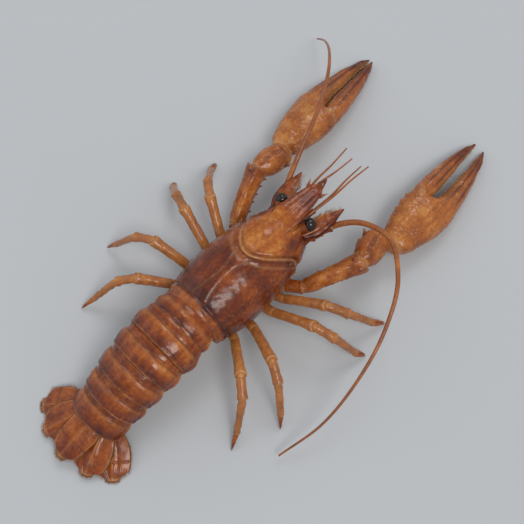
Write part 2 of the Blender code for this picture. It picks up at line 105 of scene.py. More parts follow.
# How far each leg is turned forward about its hip, in degrees, and how far its knee is raised, front to back
LEG_SHIFTS = {
    "left": ((0.0, 0.0), (3.0, -0.8), (0.0, 0.6), (-3.0, 0.0)),
    "right": ((-4.0, 0.8), (5.0, 0.6), (-5.0, -0.6), (4.0, 1.0)),
}
ARM_POSES = {
    "left": {
        "elbow": (25.2, 53.6, 13.0), "wrist": (-15.0, 6.0, -4.0),
        "knuckle": (26.2, 66.2, 9.6), "claw": (-8.0, 12.0, 6.0), "gape": 1.5,
    },
    "right": {
        "elbow": (25.2, 53.6, 13.0), "wrist": (-15.0, 6.0, -12.0),
        "knuckle": (27.8, 65.8, 9.6), "claw": (-8.0, 12.0, -3.0), "gape": 6.0,
    },
}
WHIP_ROUTES = {
    "left": (
        (10.6, 53.8, 19.6), (14.6, 64.0, 25.0), (20.0, 78.0, 28.6), (28.0, 92.0, 28.0),
        (37.0, 103.0, 22.5), (45.5, 110.5, 13.5), (53.0, 115.0, 3.4),
    ),
    "right": (
        (10.6, 53.8, 19.6), (18.0, 60.0, 24.6), (29.0, 61.0, 28.0), (40.0, 53.0, 27.0),
        (48.0, 39.0, 22.5), (52.5, 22.0, 16.0), (53.5, 5.0, 9.5), (50.0, -11.0, 3.2),
    ),
}


# Numbers


def spot(side, forward, up):
    """A place on the animal as a point of its plan."""
    return np.array((side, -forward, up), float)


def mirrored(hand, rows):
    """Rows that start with a place for the left side, as points on the side of the hand: 1 left, -1 right."""
    rows = np.array(rows, float)
    rows[..., :3] *= (hand, -1, 1)
    return rows


def bell(offset, width):
    """1 in the middle and falling away smoothly over the width."""
    return np.exp(-((offset / width) ** 2))


def bells(offset, apart, width):
    """A bell on each side, that far from the middle."""
    return bell(np.abs(offset) - apart, width)


def ease(value, low, high):
    """0 up to low, 1 from high, and smooth between them."""
    share = np.clip((value - low) / (high - low), 0.0, 1.0)
    return share * share * (3 - 2 * share)


def within(value, start, low, high, end):
    """1 from low to high, and falling smoothly to 0 at start and end."""
    return ease(value, start, low) * ease(value, end, high)


def unit(vectors):
    """The vectors at length 1."""
    length = np.linalg.norm(vectors, axis=-1, keepdims=True)
    return vectors / np.maximum(length, 1e-9)


def flow(knots, at, where, steady=False):
    """Smooth values through knots at rising positions. Steady values don't overshoot their knots."""
    gap = np.diff(at)[:, None]
    chord = np.diff(knots, axis=0) / gap
    slope = np.empty_like(knots)
    slope[1:-1] = (chord[:-1] * gap[1:] + chord[1:] * gap[:-1]) / (gap[:-1] + gap[1:])
    slope[0] = chord[0]
    slope[-1] = chord[-1]
    if steady:
        least = 2 * np.minimum(np.abs(chord[:-1]), np.abs(chord[1:]))
        slope[1:-1] = np.where(chord[:-1] * chord[1:] > 0, np.clip(slope[1:-1], -least, least), 0.0)
    k = np.clip(np.searchsorted(at, where, side="right") - 1, 0, len(at) - 2)
    width = (at[k + 1] - at[k])[:, None]
    t = (np.asarray(where) - at[k])[:, None] / width
    near = (1 + 2 * t) * (1 - t) ** 2 * knots[k] + t * (1 - t) ** 2 * width * slope[k]
    far = t**2 * (3 - 2 * t) * knots[k + 1] + t**2 * (t - 1) * width * slope[k + 1]
    return near + far


def columns(table, where):
    """The columns of a table, read off smoothly at places along its first one."""
    table = np.array(table, float)
    return flow(table[:, 1:], table[:, 0], where, steady=True).T


def waves(points, length, seed):
    """Soft random relief from -1 to 1, with hills about that length apart."""
    random = np.random.default_rng(seed)
    total = np.zeros(points.shape[:-1])
    for _ in range(9):
        way = unit(random.normal(size=3)) * 2 * math.pi / (length * random.uniform(0.7, 1.5))
        total += np.sin(points @ way + random.uniform(0, 2 * math.pi))
    return np.clip(total / 3.6, -1, 1)


def round_ring(sides, power=2.0):
    """Across and up around a ring of points, from -1 to 1: a circle at 2, and squarer at a higher power."""
    turns = np.arange(sides) * 2 * math.pi / sides
    return [np.sign(reach) * np.abs(reach) ** (2 / power) for reach in (np.cos(turns), np.sin(turns))]


def grid(side, back, up):
    """Rows of points out of numbers, rows and columns."""
    return np.stack(np.broadcast_arrays(side, back, up), axis=-1)


# Skins


class Form:
    """A skin in millimetres: points, faces of four and of three corners, and the paint of each point.

    Tone runs from ochre to maroon, pale towards cream and dark towards deep brown: the shell's own dark
    lines, tips and rings, and painted shade in grooves, hollows and gaps.
    """

    def __init__(self, points, quads, tris=(), tone=0.4, pale=0.0, dark_and_shade=0.0):
        self.points = np.asarray(points, float)
        self.quads = np.asarray(quads, int).reshape(-1, 4)
        self.tris = np.asarray(tris, int).reshape(-1, 3)
        self.tone, self.pale, self.dark_and_shade = (
            np.broadcast_to(paint, len(self.points)).astype(float) for paint in (tone, pale, dark_and_shade)
        )

    def face_outward(self):
        """Turns the faces of a closed skin so that they look outward."""
        corners = np.concatenate((self.tris, self.quads[:, :3], self.quads[:, (0, 2, 3)]))
        a, b, c = (self.points[corners[:, i]] for i in range(3))
        if np.einsum("ij,ij->", a, np.cross(b, c)) < 0:
            self.quads = self.quads[:, ::-1]
            self.tris = self.tris[:, ::-1]
        return self

    def normals(self):
        """The outward direction at each point."""
        total = np.zeros_like(self.points)
        for faces, (a, b, c, d) in ((self.quads, (0, 2, 1, 3)), (self.tris, (0, 1, 0, 2))):
            corners = self.points[faces]
            areas = np.cross(corners[:, b] - corners[:, a], corners[:, d] - corners[:, c])
            for corner in faces.T:
                for axis in range(3):
                    total[:, axis] += np.bincount(corner, areas[:, axis], len(total))
        return unit(total)

    def swell(self, heights):
        """Moves each point outward by its own height."""
        self.points = self.points + self.normals() * heights[:, None]
        return self

    def waves(self, length, seed, stretch=(1.0, 1.0, 1.0)):
        """Soft random relief over the points, from -1 to 1."""
        return waves(self.points * stretch, length, seed)

    def turned(self, matrix, place):
        """Moves the whole form by a rotation and then to a place."""
        self.points = self.points @ np.array(matrix).T + place
        return self


def gather(forms):
    """One form out of several, each with its own paint."""
    starts = np.cumsum([0] + [len(form.points) for form in forms])
    quads, tris = (
        np.concatenate([getattr(form, kind) + start for form, start in zip(forms, starts)])
        for kind in ("quads", "tris")
    )
    points, *paints = (
        np.concatenate([getattr(form, kind) for form in forms]) for kind in ("points", "tone", "pale", "dark_and_shade")
    )
    return Form(points, quads, tris, *paints)


def wrap(rings):
    """A closed form over rings of points, with a fan over each end."""
    rows, sides = rings.shape[:2]
    points = np.concatenate((rings.reshape(-1, 3), rings[:1].mean(axis=1), rings[-1:].mean(axis=1)))
    i = np.arange(sides)
    j = (i + 1) % sides
    starts = np.arange(rows - 1)[:, None] * sides
    quads = np.stack((starts + i, starts + j, starts + sides + j, starts + sides + i), axis=-1)
    near = np.stack((j, i, np.full(sides, rows * sides)), axis=-1)
    last = (rows - 1) * sides
    far = np.stack((last + i, last + j, np.full(sides, rows * sides + 1)), axis=-1)
    return Form(points, quads, np.concatenate((near, far))).face_outward()


def loft(stations, rows=40, sides=24, up=UP, power=2.0, heading=None):
    """A tapering skin along stations of x, y, z, half width and half depth, the depth along up.

    Its sections stand square to the line of the stations, or to the heading if there is one. The form gets
    more marks for each point: its share of the length, and where it is in its section, u across and v up.
    """
    stations = np.asarray(stations, float)
    steps = np.linalg.norm(np.diff(stations[:, :3], axis=0), axis=1)
    steps += 0.5 * np.abs(np.diff(stations[:, 3]))
    at = np.concatenate(([0.0], np.cumsum(steps)))
    where = np.linspace(0, at[-1], rows)
    line = flow(stations[:, :3], at, where)
    wide, deep = flow(stations[:, 3:5], at, where, steady=True).T[:, :, None, None]
    ahead = unit(np.gradient(line, axis=0))
    if heading is not None:
        ahead = np.broadcast_to(unit(np.asarray(heading, float)), line.shape)
    across = unit(np.cross(ahead, up))
    depth = np.cross(across, ahead)
    u, v = round_ring(sides, power)
    form = wrap(line[:, None] + across[:, None] * wide * u[:, None] + depth[:, None] * deep * v[:, None])
    form.share = np.concatenate((np.repeat(where / at[-1], sides), (0.0, 1.0)))
    form.u = np.concatenate((np.tile(u, rows), (0.0, 0.0)))
    form.v = np.concatenate((np.tile(v, rows), (0.0, 0.0)))
    return form


def plate(outer, inner, relief, tone, pale, dark_and_shade=0.0):
    """A closed thin sheet between two grids of points, with a rounded rim. Relief lifts its outer side."""
    rows, columns = outer.shape[:2]
    rim = [(r, 0) for r in range(rows)]
    rim += [(rows - 1, c) for c in range(1, columns)]
    rim += [(r, columns - 1) for r in range(rows - 2, -1, -1)]
    rim += [(0, c) for c in range(columns - 2, 0, -1)]
    r, c = np.array(rim).T
    outwards = unit(outer[r, c] - outer[np.clip(r, 1, rows - 2), np.clip(c, 1, columns - 2)])
    half = np.linalg.norm(outer[r, c] - inner[r, c], axis=1, keepdims=True) / 2
    edge = (outer[r, c] + inner[r, c]) / 2 + outwards * half
    count = rows * columns
    points = np.concatenate((outer.reshape(-1, 3), inner.reshape(-1, 3), edge))
    index = np.arange(count).reshape(rows, columns)
    top = np.stack((index[:-1, :-1], index[:-1, 1:], index[1:, 1:], index[1:, :-1]), axis=-1).reshape(-1, 4)
    k = np.arange(len(rim)) + 2 * count
    following = np.roll(k, -1)
    above = index[r, c]
    upper = np.stack((k, following, np.roll(above, -1), above), axis=-1)
    lower = np.stack((above + count, np.roll(above, -1) + count, following, k), axis=-1)
    form = Form(points, np.concatenate((top, top[:, ::-1] + count, upper, lower))).face_outward()
    for mark, values in (("tone", tone), ("pale", pale), ("dark_and_shade", dark_and_shade)):
        values = np.broadcast_to(values, (rows, columns))
        setattr(form, mark, np.concatenate((values.ravel(), values.ravel(), values[r, c])))
    return form.swell(np.concatenate((relief.ravel(), np.zeros(count + len(rim)))))


def melt(form, voxel, calm):
    """The form as one even skin, its overlapping parts joined and its edges calmed."""
    mesh = bpy.data.meshes.new("melt")
    mesh.from_pydata(form.points.tolist(), [], form.quads.tolist() + form.tris.tolist())
    source = bpy.data.objects.new("melt", mesh)
    bpy.context.scene.collection.objects.link(source)
    remesh = source.modifiers.new("Remesh", "REMESH")
    remesh.mode = "VOXEL"
    remesh.voxel_size = voxel
    smooth = source.modifiers.new("Smooth", "SMOOTH")
    smooth.factor = 0.5
    smooth.iterations = calm
    melted = source.evaluated_get(bpy.context.evaluated_depsgraph_get())
    shown = melted.to_mesh()
    points = np.empty(len(shown.vertices) * 3)
    shown.vertices.foreach_get("co", points)
    corners = np.empty(len(shown.loops), int)
    shown.loops.foreach_get("vertex_index", corners)
    melted.to_mesh_clear()
    bpy.data.objects.remove(source)
    bpy.data.meshes.remove(mesh)
    return Form(points.reshape(-1, 3), corners).face_outward()


def granules(points, centres, radii, heights):
    """Relief of small rounded bumps: the height at each point, and how near it is to a bump's top."""
    relief = np.zeros(len(points))
    near = np.zeros(len(points))
    for centre, radius, height in zip(centres, radii, heights):
        inside = np.flatnonzero(np.all(np.abs(points - centre) < radius, axis=1))
        distance = np.linalg.norm(points[inside] - centre, axis=1) / radius
        dome = np.clip(1 - distance**2, 0, 1) ** 2
        relief[inside] = np.maximum(relief[inside], height * dome)
        near[inside] = np.maximum(near[inside], dome)
    return relief, near


def grained(points, chances, spacing, count, seed, radii, steepness, radii_seed=0, boost=1.0):
    """Granules on up to count points, at least a spacing apart, picked at random by their chances."""
    random = np.random.default_rng(seed)
    picked = []
    places = np.empty((count, 3))
    for index in random.permutation(np.flatnonzero(random.random(len(points)) < chances)):
        done = places[: len(picked)]
        if not picked or np.min(np.sum((done - points[index]) ** 2, axis=1)) > spacing**2:
            places[len(picked)] = points[index]
            picked.append(index)
        if len(picked) == count:
            break
    radii = np.random.default_rng(radii_seed).uniform(*radii, len(picked))
    radii *= np.broadcast_to(boost, len(points))[picked]
    return granules(points, points[picked], radii, radii * steepness)


def thorn(root, direction, length, radius, tone=0.6, pale=0.5):
    """A sharp spine whose foot is sunk in the shell."""
    way = unit(np.asarray(direction, float))
    shares = np.array((-0.25, 0.0, 0.25, 0.5, 0.75, 0.92, 1.0))
    widths = radius * np.array((1.15, 1.0, 0.72, 0.48, 0.26, 0.12, 0.03))
    line = root + way * (shares * length)[:, None]
    side = (0, 0, 1) if abs(way[2]) < 0.8 else (0, 1, 0)
    form = loft(np.column_stack((line, widths, widths)), rows=9, sides=8, up=side)
    form.tone[:] = tone
    form.pale = pale * ease(form.share, 0.2, 0.9)
    return form


def hairs(roots, ways, lengths, radius, seed, tone=0.5, pale=0.35):
    """Bristles as thin three-sided slivers that curve a little."""
    random = np.random.default_rng(seed)
    ways = unit(ways + random.normal(scale=0.12, size=roots.shape))
    lengths = lengths * random.uniform(0.7, 1.15, len(roots))
    side = unit(np.cross(ways, random.normal(size=roots.shape)))
    other = np.cross(ways, side)
    sag = side * (lengths * random.uniform(-0.15, 0.15, len(roots)))[:, None]
    points = []
    for share, girth in ((-0.1, 1.0), (0.5, 0.75)):
        middle = roots + ways * (share * lengths)[:, None] + sag * share**2
        for turn in (0.0, 2.1, 4.2):
            points.append(middle + (side * math.cos(turn) + other * math.sin(turn)) * radius * girth)
    points.append(roots + ways * lengths[:, None] + sag)
    points = np.stack(points, axis=1).reshape(-1, 3)
    base = np.arange(len(roots))[:, None] * 7
    quads = base[:, None] + np.array(((0, 1, 4, 3), (1, 2, 5, 4), (2, 0, 3, 5)))
    tris = base[:, None] + np.array(((3, 4, 6), (4, 5, 6), (5, 3, 6), (2, 1, 0)))
    return Form(points, quads, tris, tone, pale)


def publish(name, form, slot, node):
    """Puts a finished form into the scene in the place of its solid."""
    mesh = bpy.data.meshes.new(name)
    points = (form.points + ORIGIN) * MM
    points[:, 2] = np.maximum(points[:, 2], 0.0)
    mesh.from_pydata(points.tolist(), [], form.quads.tolist() + form.tris.tolist())
    for mark in ("tone", "pale", "dark_and_shade"):
        values = np.clip(getattr(form, mark), 0, 1)
        mesh.attributes.new(mark, "FLOAT", "POINT").data.foreach_set("value", values)
    mesh.materials.append(EYE_BALL if slot == "eye" else SHELL)
    mesh.shade_smooth()
    piece = bpy.data.objects.new(name, mesh)
    bpy.context.scene.collection.objects.link(piece)
    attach(piece, "root")
    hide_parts(node)


# Materials


class Recipe:
    """A material's nodes, added and joined in few words."""

    def __init__(self, name):
        self.material = bpy.data.materials.new(name)
        self.material.use_nodes = True
        self.tree = self.material.node_tree
        self.place = self.add("TexCoord").outputs["Object"]

    def feed(self, node, sockets):
        """Gives a node's sockets their values, or joins them to other nodes' outputs."""
        for name, value in sockets.items():
            if isinstance(value, bpy.types.NodeSocket):
                self.tree.links.new(value, node.inputs[name])
            else:
                node.inputs[name].default_value = value
        return node

    def add(self, kind, sockets=None, **settings):
        node = self.tree.nodes.new(f"ShaderNode{kind}")
        for key, value in settings.items():
            setattr(node, key, value)
        return self.feed(node, sockets or {})

    def paint(self, name):
        return self.add("Attribute", attribute_name=name).outputs["Fac"]

    def sums(self, operation, first, second, clamp=False):
        return self.add("Math", {0: first, 1: second}, operation=operation, use_clamp=clamp).outputs[0]

    def noise(self, scale, detail=3.0, roughness=0.55):
        sockets = {"Vector": self.place, "Scale": scale, "Detail": detail, "Roughness": roughness}
        return self.add("TexNoise", sockets).outputs["Fac"]

    def cells(self, scale):
        sockets = {"Vector": self.place, "Scale": scale}
        return self.add("TexVoronoi", sockets, feature="F1").outputs["Distance"]

    def window(self, value, low, high, start=0.0, end=1.0):
        sockets = {"Value": value, "From Min": low, "From Max": high, "To Min": start, "To Max": end}
        return self.add("MapRange", sockets).outputs["Result"]

    def ramp(self, value, stops):
        node = self.add("ValToRGB", {"Fac": value})
        elements = node.color_ramp.elements
        while len(elements) < len(stops):
            elements.new(0.5)
        for element, (position, colour) in zip(elements, stops):
            element.position = position
            element.color = (*colour, 1.0)
        return node.outputs["Color"]

    def blend(self, share, first, second):
        sockets = {"Factor": share, "A": first, "B": (*second, 1.0)}
        return self.add("Mix", sockets, data_type="RGBA").outputs["Result"]

    def bump(self, height, distance, strength, **under):
        sockets = {"Height": height, "Distance": distance, "Strength": strength, **under}
        return self.add("Bump", sockets).outputs["Normal"]

    def finish(self, sockets):
        self.feed(self.tree.nodes["Principled BSDF"], sockets)
        return self.material


OCHRE_TO_MAROON = (
    (0.0, (0.52, 0.2, 0.04)),
    (0.22, (0.4, 0.108, 0.013)),
    (0.45, (0.27, 0.058, 0.008)),
    (0.7, (0.155, 0.027, 0.006)),
    (1.0, (0.064, 0.012, 0.005)),
)
CREAM = (0.6, 0.34, 0.14)
# Deep brown for the shell's own dark lines, and for painted shade in pits, grooves, hollows and gaps
DARK_BROWN_AND_SHADE = (0.028, 0.012, 0.008)


def shell_material():
    """Cooked shell: mottled ochre to maroon, with fine pits darkened as painted shade, cream at the joints
    and a wet gloss.
    """
    recipe = Recipe("cooked_shell")
    clouds = recipe.window(recipe.noise(130.0, 4.0, 0.6), 0.3, 0.7, -0.17, 0.17)
    freckles = recipe.window(recipe.noise(900.0, 2.0), 0.35, 0.72, -0.08, 0.16)
    tone = recipe.sums("ADD", recipe.paint("tone"), clouds)
    tone = recipe.sums("ADD", tone, freckles, clamp=True)
    colour = recipe.ramp(tone, OCHRE_TO_MAROON)
    pits = recipe.cells(1500.0)
    # Painted shade: the fine pits are darkened towards deep brown
    colour = recipe.blend(recipe.window(pits, 0.05, 0.32, 0.3, 0.0), colour, DARK_BROWN_AND_SHADE)
    streaks = recipe.window(recipe.noise(420.0), 0.3, 0.7, 0.75, 1.15)
    pale = recipe.sums("MULTIPLY", recipe.paint("pale"), streaks, clamp=True)
    colour = recipe.blend(pale, colour, CREAM)
    # The dark mark: the shell's own dark lines and tips, and painted shade in grooves, hollows and gaps
    colour = recipe.blend(recipe.paint("dark_and_shade"), colour, DARK_BROWN_AND_SHADE)
    sheen = recipe.window(recipe.noise(260.0, 4.0), 0.3, 0.7, 0.14, 0.3)
    rough = recipe.bump(recipe.noise(700.0, 4.0), 0.00018, 0.55)
    pitted = recipe.bump(recipe.window(pits, 0.0, 0.3), 0.00007, 0.6, Normal=rough)
    return recipe.finish({
        "Base Color": colour,
        "Roughness": sheen,
        "Normal": pitted,
        "Specular IOR Level": 0.32,
        "Coat Weight": 0.22,
        "Coat Roughness": 0.12,
        "Subsurface Weight": 0.1,
        "Subsurface Radius": (1.0, 0.35, 0.15),
        "Subsurface Scale": 0.0012,
    })


def eye_material():
    """The eye's black glossy ball, with the faintest brown cast."""
    recipe = Recipe("eye_ball")
    colour = recipe.ramp(recipe.noise(900.0), ((0.3, (0.006, 0.004, 0.004)), (0.8, (0.03, 0.014, 0.01))))
    gloss = recipe.window(recipe.noise(1500.0), 0.3, 0.7, 0.06, 0.14)
    facets = recipe.bump(recipe.cells(5200.0), 0.00002, 0.3)
    return recipe.finish({"Base Color": colour, "Roughness": gloss, "Normal": facets})


def floor_material():
    """Plain pale matt floor."""
    recipe = Recipe("floor")
    colour = recipe.ramp(recipe.noise(6.0), ((0.3, (0.5, 0.515, 0.535)), (0.7, (0.515, 0.53, 0.55))))
    return recipe.finish({"Base Color": colour, "Roughness": 0.85, "Specular IOR Level": 0.15})


SHELL = shell_material()
EYE_BALL = eye_material()


# Head and thorax


THORAX = (  # share of the length, share of the half width, drop of the top, rise of the hem
    (-0.02, 0.83, 2.9, 3.6), (0.0, 0.83, 2.8, 3.2), (0.03, 0.87, 2.3, 1.9), (0.13, 0.96, 1.2, 0.3),
    (0.3, 1.02, 0.3, 0.0), (0.47, 1.01, 0.0, 0.0), (0.56, 0.97, 0.1, 0.1), (0.66, 0.92, 0.0, 0.4),
    (0.8, 0.81, 0.8, 1.4), (0.91, 0.68, 2.4, 3.6), (0.98, 0.55, 4.4, 6.6), (1.0, 0.42, 6.2, 9.0),
)
BEAK = (  # ahead of the thorax, half width, half depth, drop below the top
    (-9.0, 4.2, 0.7, 2.0), (-2.0, 4.6, 0.9, 1.5), (2.0, 4.2, 1.0, 1.8), (9.0, 3.1, 0.9, 2.4),
    (11.0, 2.6, 0.9, 2.6), (12.4, 1.7, 0.8, 2.6), (14.4, 0.9, 0.65, 2.4), (ROSTRUM_REACH, 0.15, 0.2, 2.1),
)


def body_section(forward):
    """The thorax's half width, top and hem at places ahead of its rear margin."""
    width, drop, rise = columns(THORAX, np.clip(np.asarray(forward) / CARAPACE_LENGTH, -0.02, 1.0))
    return np.stack((width * CARAPACE_HALF_WIDTH, CARAPACE_TOP - drop, CARAPACE_HEM + rise))


def dome():
    """The thorax's plain skin."""
    forward = np.concatenate((np.linspace(-0.9, 42.0, 110), np.linspace(42.3, CARAPACE_LENGTH, 20)))
    half_width, top, hem = body_section(forward)[:, :, None]
    u, v = round_ring(120)
    rise = np.where(u > 0, top - CARAPACE_MIDDLE, CARAPACE_MIDDLE - hem) * u
    return wrap(grid(half_width * v, -forward[:, None], CARAPACE_MIDDLE + rise))


def on_dome(hand, forward, turn):
    """A place on the thorax's plain skin, at a turn from the back's middle in degrees."""
    half_width, top, hem = body_section([forward])[:, 0]
    height = top - CARAPACE_MIDDLE if turn < 90 else CARAPACE_MIDDLE - hem
    turn = math.radians(turn)
    return spot(hand * half_width * math.sin(turn), forward, CARAPACE_MIDDLE + height * math.cos(turn))


def rostrum_blade():
    """The beak between the eyes: hollow along its back between two raised edges, with a low keel."""
    ahead = np.linspace(-9, ROSTRUM_REACH, 90)
    half_width, half_depth, drop = columns(BEAK, ahead)[:, :, None]
    u, v = round_ring(40)
    hollow = 0.75 * bell(u, 0.5) * (v > 0) * ease(half_width, 0.6, 2.5)
    lift = half_depth * v - hollow + 0.3 * bell(u, 0.12) * (v > 0)
    return wrap(grid(half_width * u, -(CARAPACE_LENGTH + ahead)[:, None], CARAPACE_TOP - drop + lift))


def neck_path(turn):
    """How far ahead the neck groove lies at a turn from the back's middle, in degrees: a U, open forward."""
    return 24.0 + 12.4 * ease(turn, 0, 80) + 0.04 * np.maximum(turn - 80, 0)


def mouth():
    """What shows under the beak: a plate between the feelers' roots and, below it, the two rounded jaws."""
    stations = (
        (0, 40.0, 17.2, 6.6, 3.0), (0, 43.4, 17.0, 6.2, 2.8), (0, 45.0, 16.7, 4.8, 2.3),
        (0, 46.0, 16.4, 2.4, 1.3), (0, 46.3, 16.3, 0.5, 0.3),
    )
    front = loft(mirrored(1, stations), rows=40, sides=56, heading=(0, -1, 0))
    ridges = bell(front.points[:, 0], 0.5) + bells(front.points[:, 0], 3.2, 0.6)
    front.swell(0.3 * ridges + 0.08 * front.waves(2.4, 25))
    front.tone = 0.5 + 0.12 * front.waves(3.0, 26)
    front.pale = 0.12 * ridges
    parts = [front]
    stations = (
        (5.6, 40.0, 12.8, 2.4, 2.4), (4.0, 43.0, 12.6, 2.6, 2.5), (1.9, 45.0, 12.2, 2.0, 2.1),
        (0.5, 45.7, 12.0, 0.6, 0.9),
    )
    for hand in (1, -1):
        jaw = loft(mirrored(hand, stations), rows=34, sides=36)
        jaw.swell(0.08 * jaw.waves(2.2, 27 + hand))
        jaw.tone = 0.4 + 0.14 * jaw.waves(3.0, 28)
        jaw.pale = 0.45 * ease(jaw.share, 0.78, 0.95)
        parts.append(jaw)
    return parts


def waist():
    """The folded soft skin that closes the thorax behind and leads on to the tail."""
    stations = (
        (0, 8.0, 8.0, 5.6, 1.6), (0, 4.5, 9.2, 7.4, 2.6), (0, 1.0, 11.4, 8.4, 3.2),
        (0, -1.4, 14.2, 8.6, 3.2), (0, -2.6, 16.4, 7.6, 2.4),
    )
    form = loft(mirrored(1, stations), rows=60, sides=56, power=2.4)
    folds = np.cos(form.share * 40)
    form.swell(0.2 * folds + 0.14 * form.waves(2.6, 31))
    # Tone is a little darker in the troughs of the folds, as painted shade
    form.tone = 0.26 + 0.12 * form.waves(3.0, 32) - 0.06 * folds
    form.pale[:] = 0.32
    return form


def carapace_spines():
    """The blunt feet of the thorax's spines, to melt into it, and their sharp tips."""
    stumps, tips = [], []
    for hand in (1, -1):
        for root, way, length, girth in (
            (spot(hand * 2.9, 56.2, 28.6), (0.55, -1, 0.12), 2.6, 0.85),
            (on_dome(hand, 41.2, 33), (0.12, -1, 0.3), 2.5, 0.85),
            (on_dome(hand, 33.6, 33), (0.2, -1, 0.45), 1.8, 0.75),
            (spot(hand * 8.6, 44.0, 19.4), (0.5, -1, 0.0), 2.2, 0.9),
            (on_dome(hand, 32.4, 60), (0.55, -1, 0.25), 1.5, 0.8),
            (on_dome(hand, 33.2, 74), (0.55, -1, 0.15), 1.4, 0.75),
            (on_dome(hand, 33.6, 88), (0.55, -1, 0.0), 1.2, 0.7),
        ):
            way = (hand * way[0], *way[1:])
            stumps.append(thorn(root, way, 0.7 * length, girth))
            tips.append(thorn(root, way, length, 0.72 * girth, tone=0.5, pale=0.3))
    return stumps, tips


def thorax_marks(points):
    """Where each point of the thorax lies, and how much of each of its features, from 0 to 1, it is on."""
    side, forward, up = points[:, 0], -points[:, 1], points[:, 2]
    half_width, top, hem = body_section(forward)
    height = np.where(up > CARAPACE_MIDDLE, top - CARAPACE_MIDDLE, CARAPACE_MIDDLE - hem)
    turn = np.degrees(np.arctan2(np.abs(side) / half_width, (up - CARAPACE_MIDDLE) / height))
    on = SimpleNamespace(side=side, forward=forward, up=up, turn=turn)
    # The neck groove between its lips, and a fainter groove behind it
    steep = (neck_path(turn + 1) - neck_path(turn - 1)) / (2 * MM_PER_DEGREE)
    on.across = (forward - neck_path(turn)) / np.sqrt(1 + steep**2)
    on.over = ease(turn, 112, 96)
    on.off_beak = 1 - ease(forward, 44.0, 47.0)
    on.groove = bell(on.across, 0.85) * on.over * on.off_beak
    on.second = bell(on.across + 2.7, 0.55) * ease(turn, 74, 58)
    on.lips = bells(on.across, 1.7, 0.8) * on.over
    # Two lines along the back, the rear margin, and the ridges behind the eyes
    areola = 1.3 + 2.4 * ((forward - 13.5) / 12) ** 2
    on.lines = bells(side, areola, 0.42) * ease(turn, 60, 45) * within(forward, 2.0, 4.5, 21.5, 24.5)
    on.rear_groove = bell(forward - 2.5, 0.6) * ease(turn, 125, 110)
    on.rear_rim = ease(forward, 2.0, 1.2) * ease(turn, 130, 115)
    on.brow = bells(side, 5.5 - 0.03 * (44 - forward), 0.8) * (up > 22)
    on.brow *= within(forward, 33.5, 36.5, 43.0, 45.5)
    on.far_brow = bells(side, 6.6, 0.9) * within(forward, 27.5, 29.5, 33.0, 35.0) * (up > 22)
    # The hem, the hollow inside it, and the rear wall
    on.hem_lip = bell(turn - 122, 3.5) * ease(forward, 0.0, 1.0) * ease(forward, 44, 40)
    on.hollow = ease(turn, 124, 132) * ease(forward, 1.0, 3.0)
    on.low = ease(turn, 80, 105)
    reach = np.hypot(side / half_width, (up - CARAPACE_MIDDLE) / height)
    on.rear = ease(reach, 0.965, 0.9) * ease(forward, 0.4, -0.3)
    return on


def shape_thorax(form, on):
    """Carves the thorax's features and its granules, and presses its face and its rear wall in."""
    points = form.points
    normals = form.normals()
    chances = 0.02 * within(on.turn, 30, 75, 114, 122) * (on.forward > 3) * (on.forward < 42)
    grain, on.grain_top = grained(
        points, chances, spacing=1.05, count=620, seed=11, radii=(0.36, 0.62), steepness=0.33, radii_seed=12,
    )
    relief = -0.85 * on.groove - 0.16 * on.second + 0.12 * on.lips - 0.26 * on.lines
    relief += -0.4 * on.rear_groove + 0.32 * on.rear_rim + 0.42 * on.brow + 0.34 * on.far_brow
    relief += 0.25 * on.hem_lip - 1.1 * on.hollow
    relief += (0.1 * waves(points, 9.0, 3) + 0.035 * waves(points, 2.6, 4)) * ease(on.turn, 135, 120)
    on.face = ease(-normals[:, 1], 0.35, 0.75) * ease(on.up, 24.5, 22.5) * ease(on.forward, 42.5, 44.0)
    form.points = points + normals * (relief + grain)[:, None]
    form.points[:, 1] += 2.2 * on.face
    form.points[:, 1] -= (1.6 - 1.2 * on.low) * on.rear
    for hand in (1, -1):
        centre = mirrored(hand, EYE_PLACE)
        away = form.points - centre
        distance = np.linalg.norm(away, axis=1)
        pushed = np.maximum(distance, EYE_RADIUS + EYE_CLEARANCE)
        form.points = centre + away * (pushed / np.maximum(distance, 1e-6))[:, None]


def paint_thorax(form, points, on):
    """Paints the thorax: ochre ahead of the neck groove, maroon behind it, pale along groove and hem, with
    painted shade in its grooves, the hollow inside the hem, the pressed-in face and the rear wall.
    """
    forward, turn = on.forward, on.turn
    behind = ease(on.across, 0.6, -1.2)
    inside = on.hollow * ease(turn, 132, 150)
    eye_band = bells(on.side, 7.0 + 0.12 * (45 - forward), 1.3) * within(forward, 31, 39, 45, 47)
    eye_band *= ease(on.up, 19, 21)
    form.tone = 0.28 + 0.34 * behind + 0.22 * ease(forward, 18, 2) - 0.1 * ease(turn, 80, 120) * behind
    form.tone -= 0.16 * bell(on.side, 5.5) * bell(forward - 34.5, 7.5) + 0.3 * on.rear_rim + 0.2 * inside
    form.tone += 0.3 * ease(forward, 41.0, 46.0) * ease(np.abs(on.side), 7.0, 4.5) + 0.5 * eye_band
    form.tone += 0.18 * ease(turn, 36, 66) * (1 - behind) + 0.11 * waves(points, 7.0, 21)
    form.tone += 0.09 * waves(points * (1.0, 0.2, 1.0), 2.6, 22)
    form.pale = 0.5 * bell(on.across, 0.42) * on.over * on.off_beak + 0.2 * on.second + 0.1 * on.lines
    form.pale += 0.3 * on.hem_lip + 0.13 * on.grain_top + 0.05 * on.rear_rim + 0.34 * inside
    # Painted shade: the flanks of the neck groove, the rear groove, the hollow inside the hem, the pressed-in
    # face and the rear wall are darkened
    form.dark_and_shade = 0.28 * bells(on.across, 1.0, 0.5) * on.over * on.off_beak + 0.4 * on.rear_groove
    form.dark_and_shade += 0.4 * on.hollow * (1 - inside) + 0.75 * on.face + (0.8 - 0.6 * on.low) * on.rear


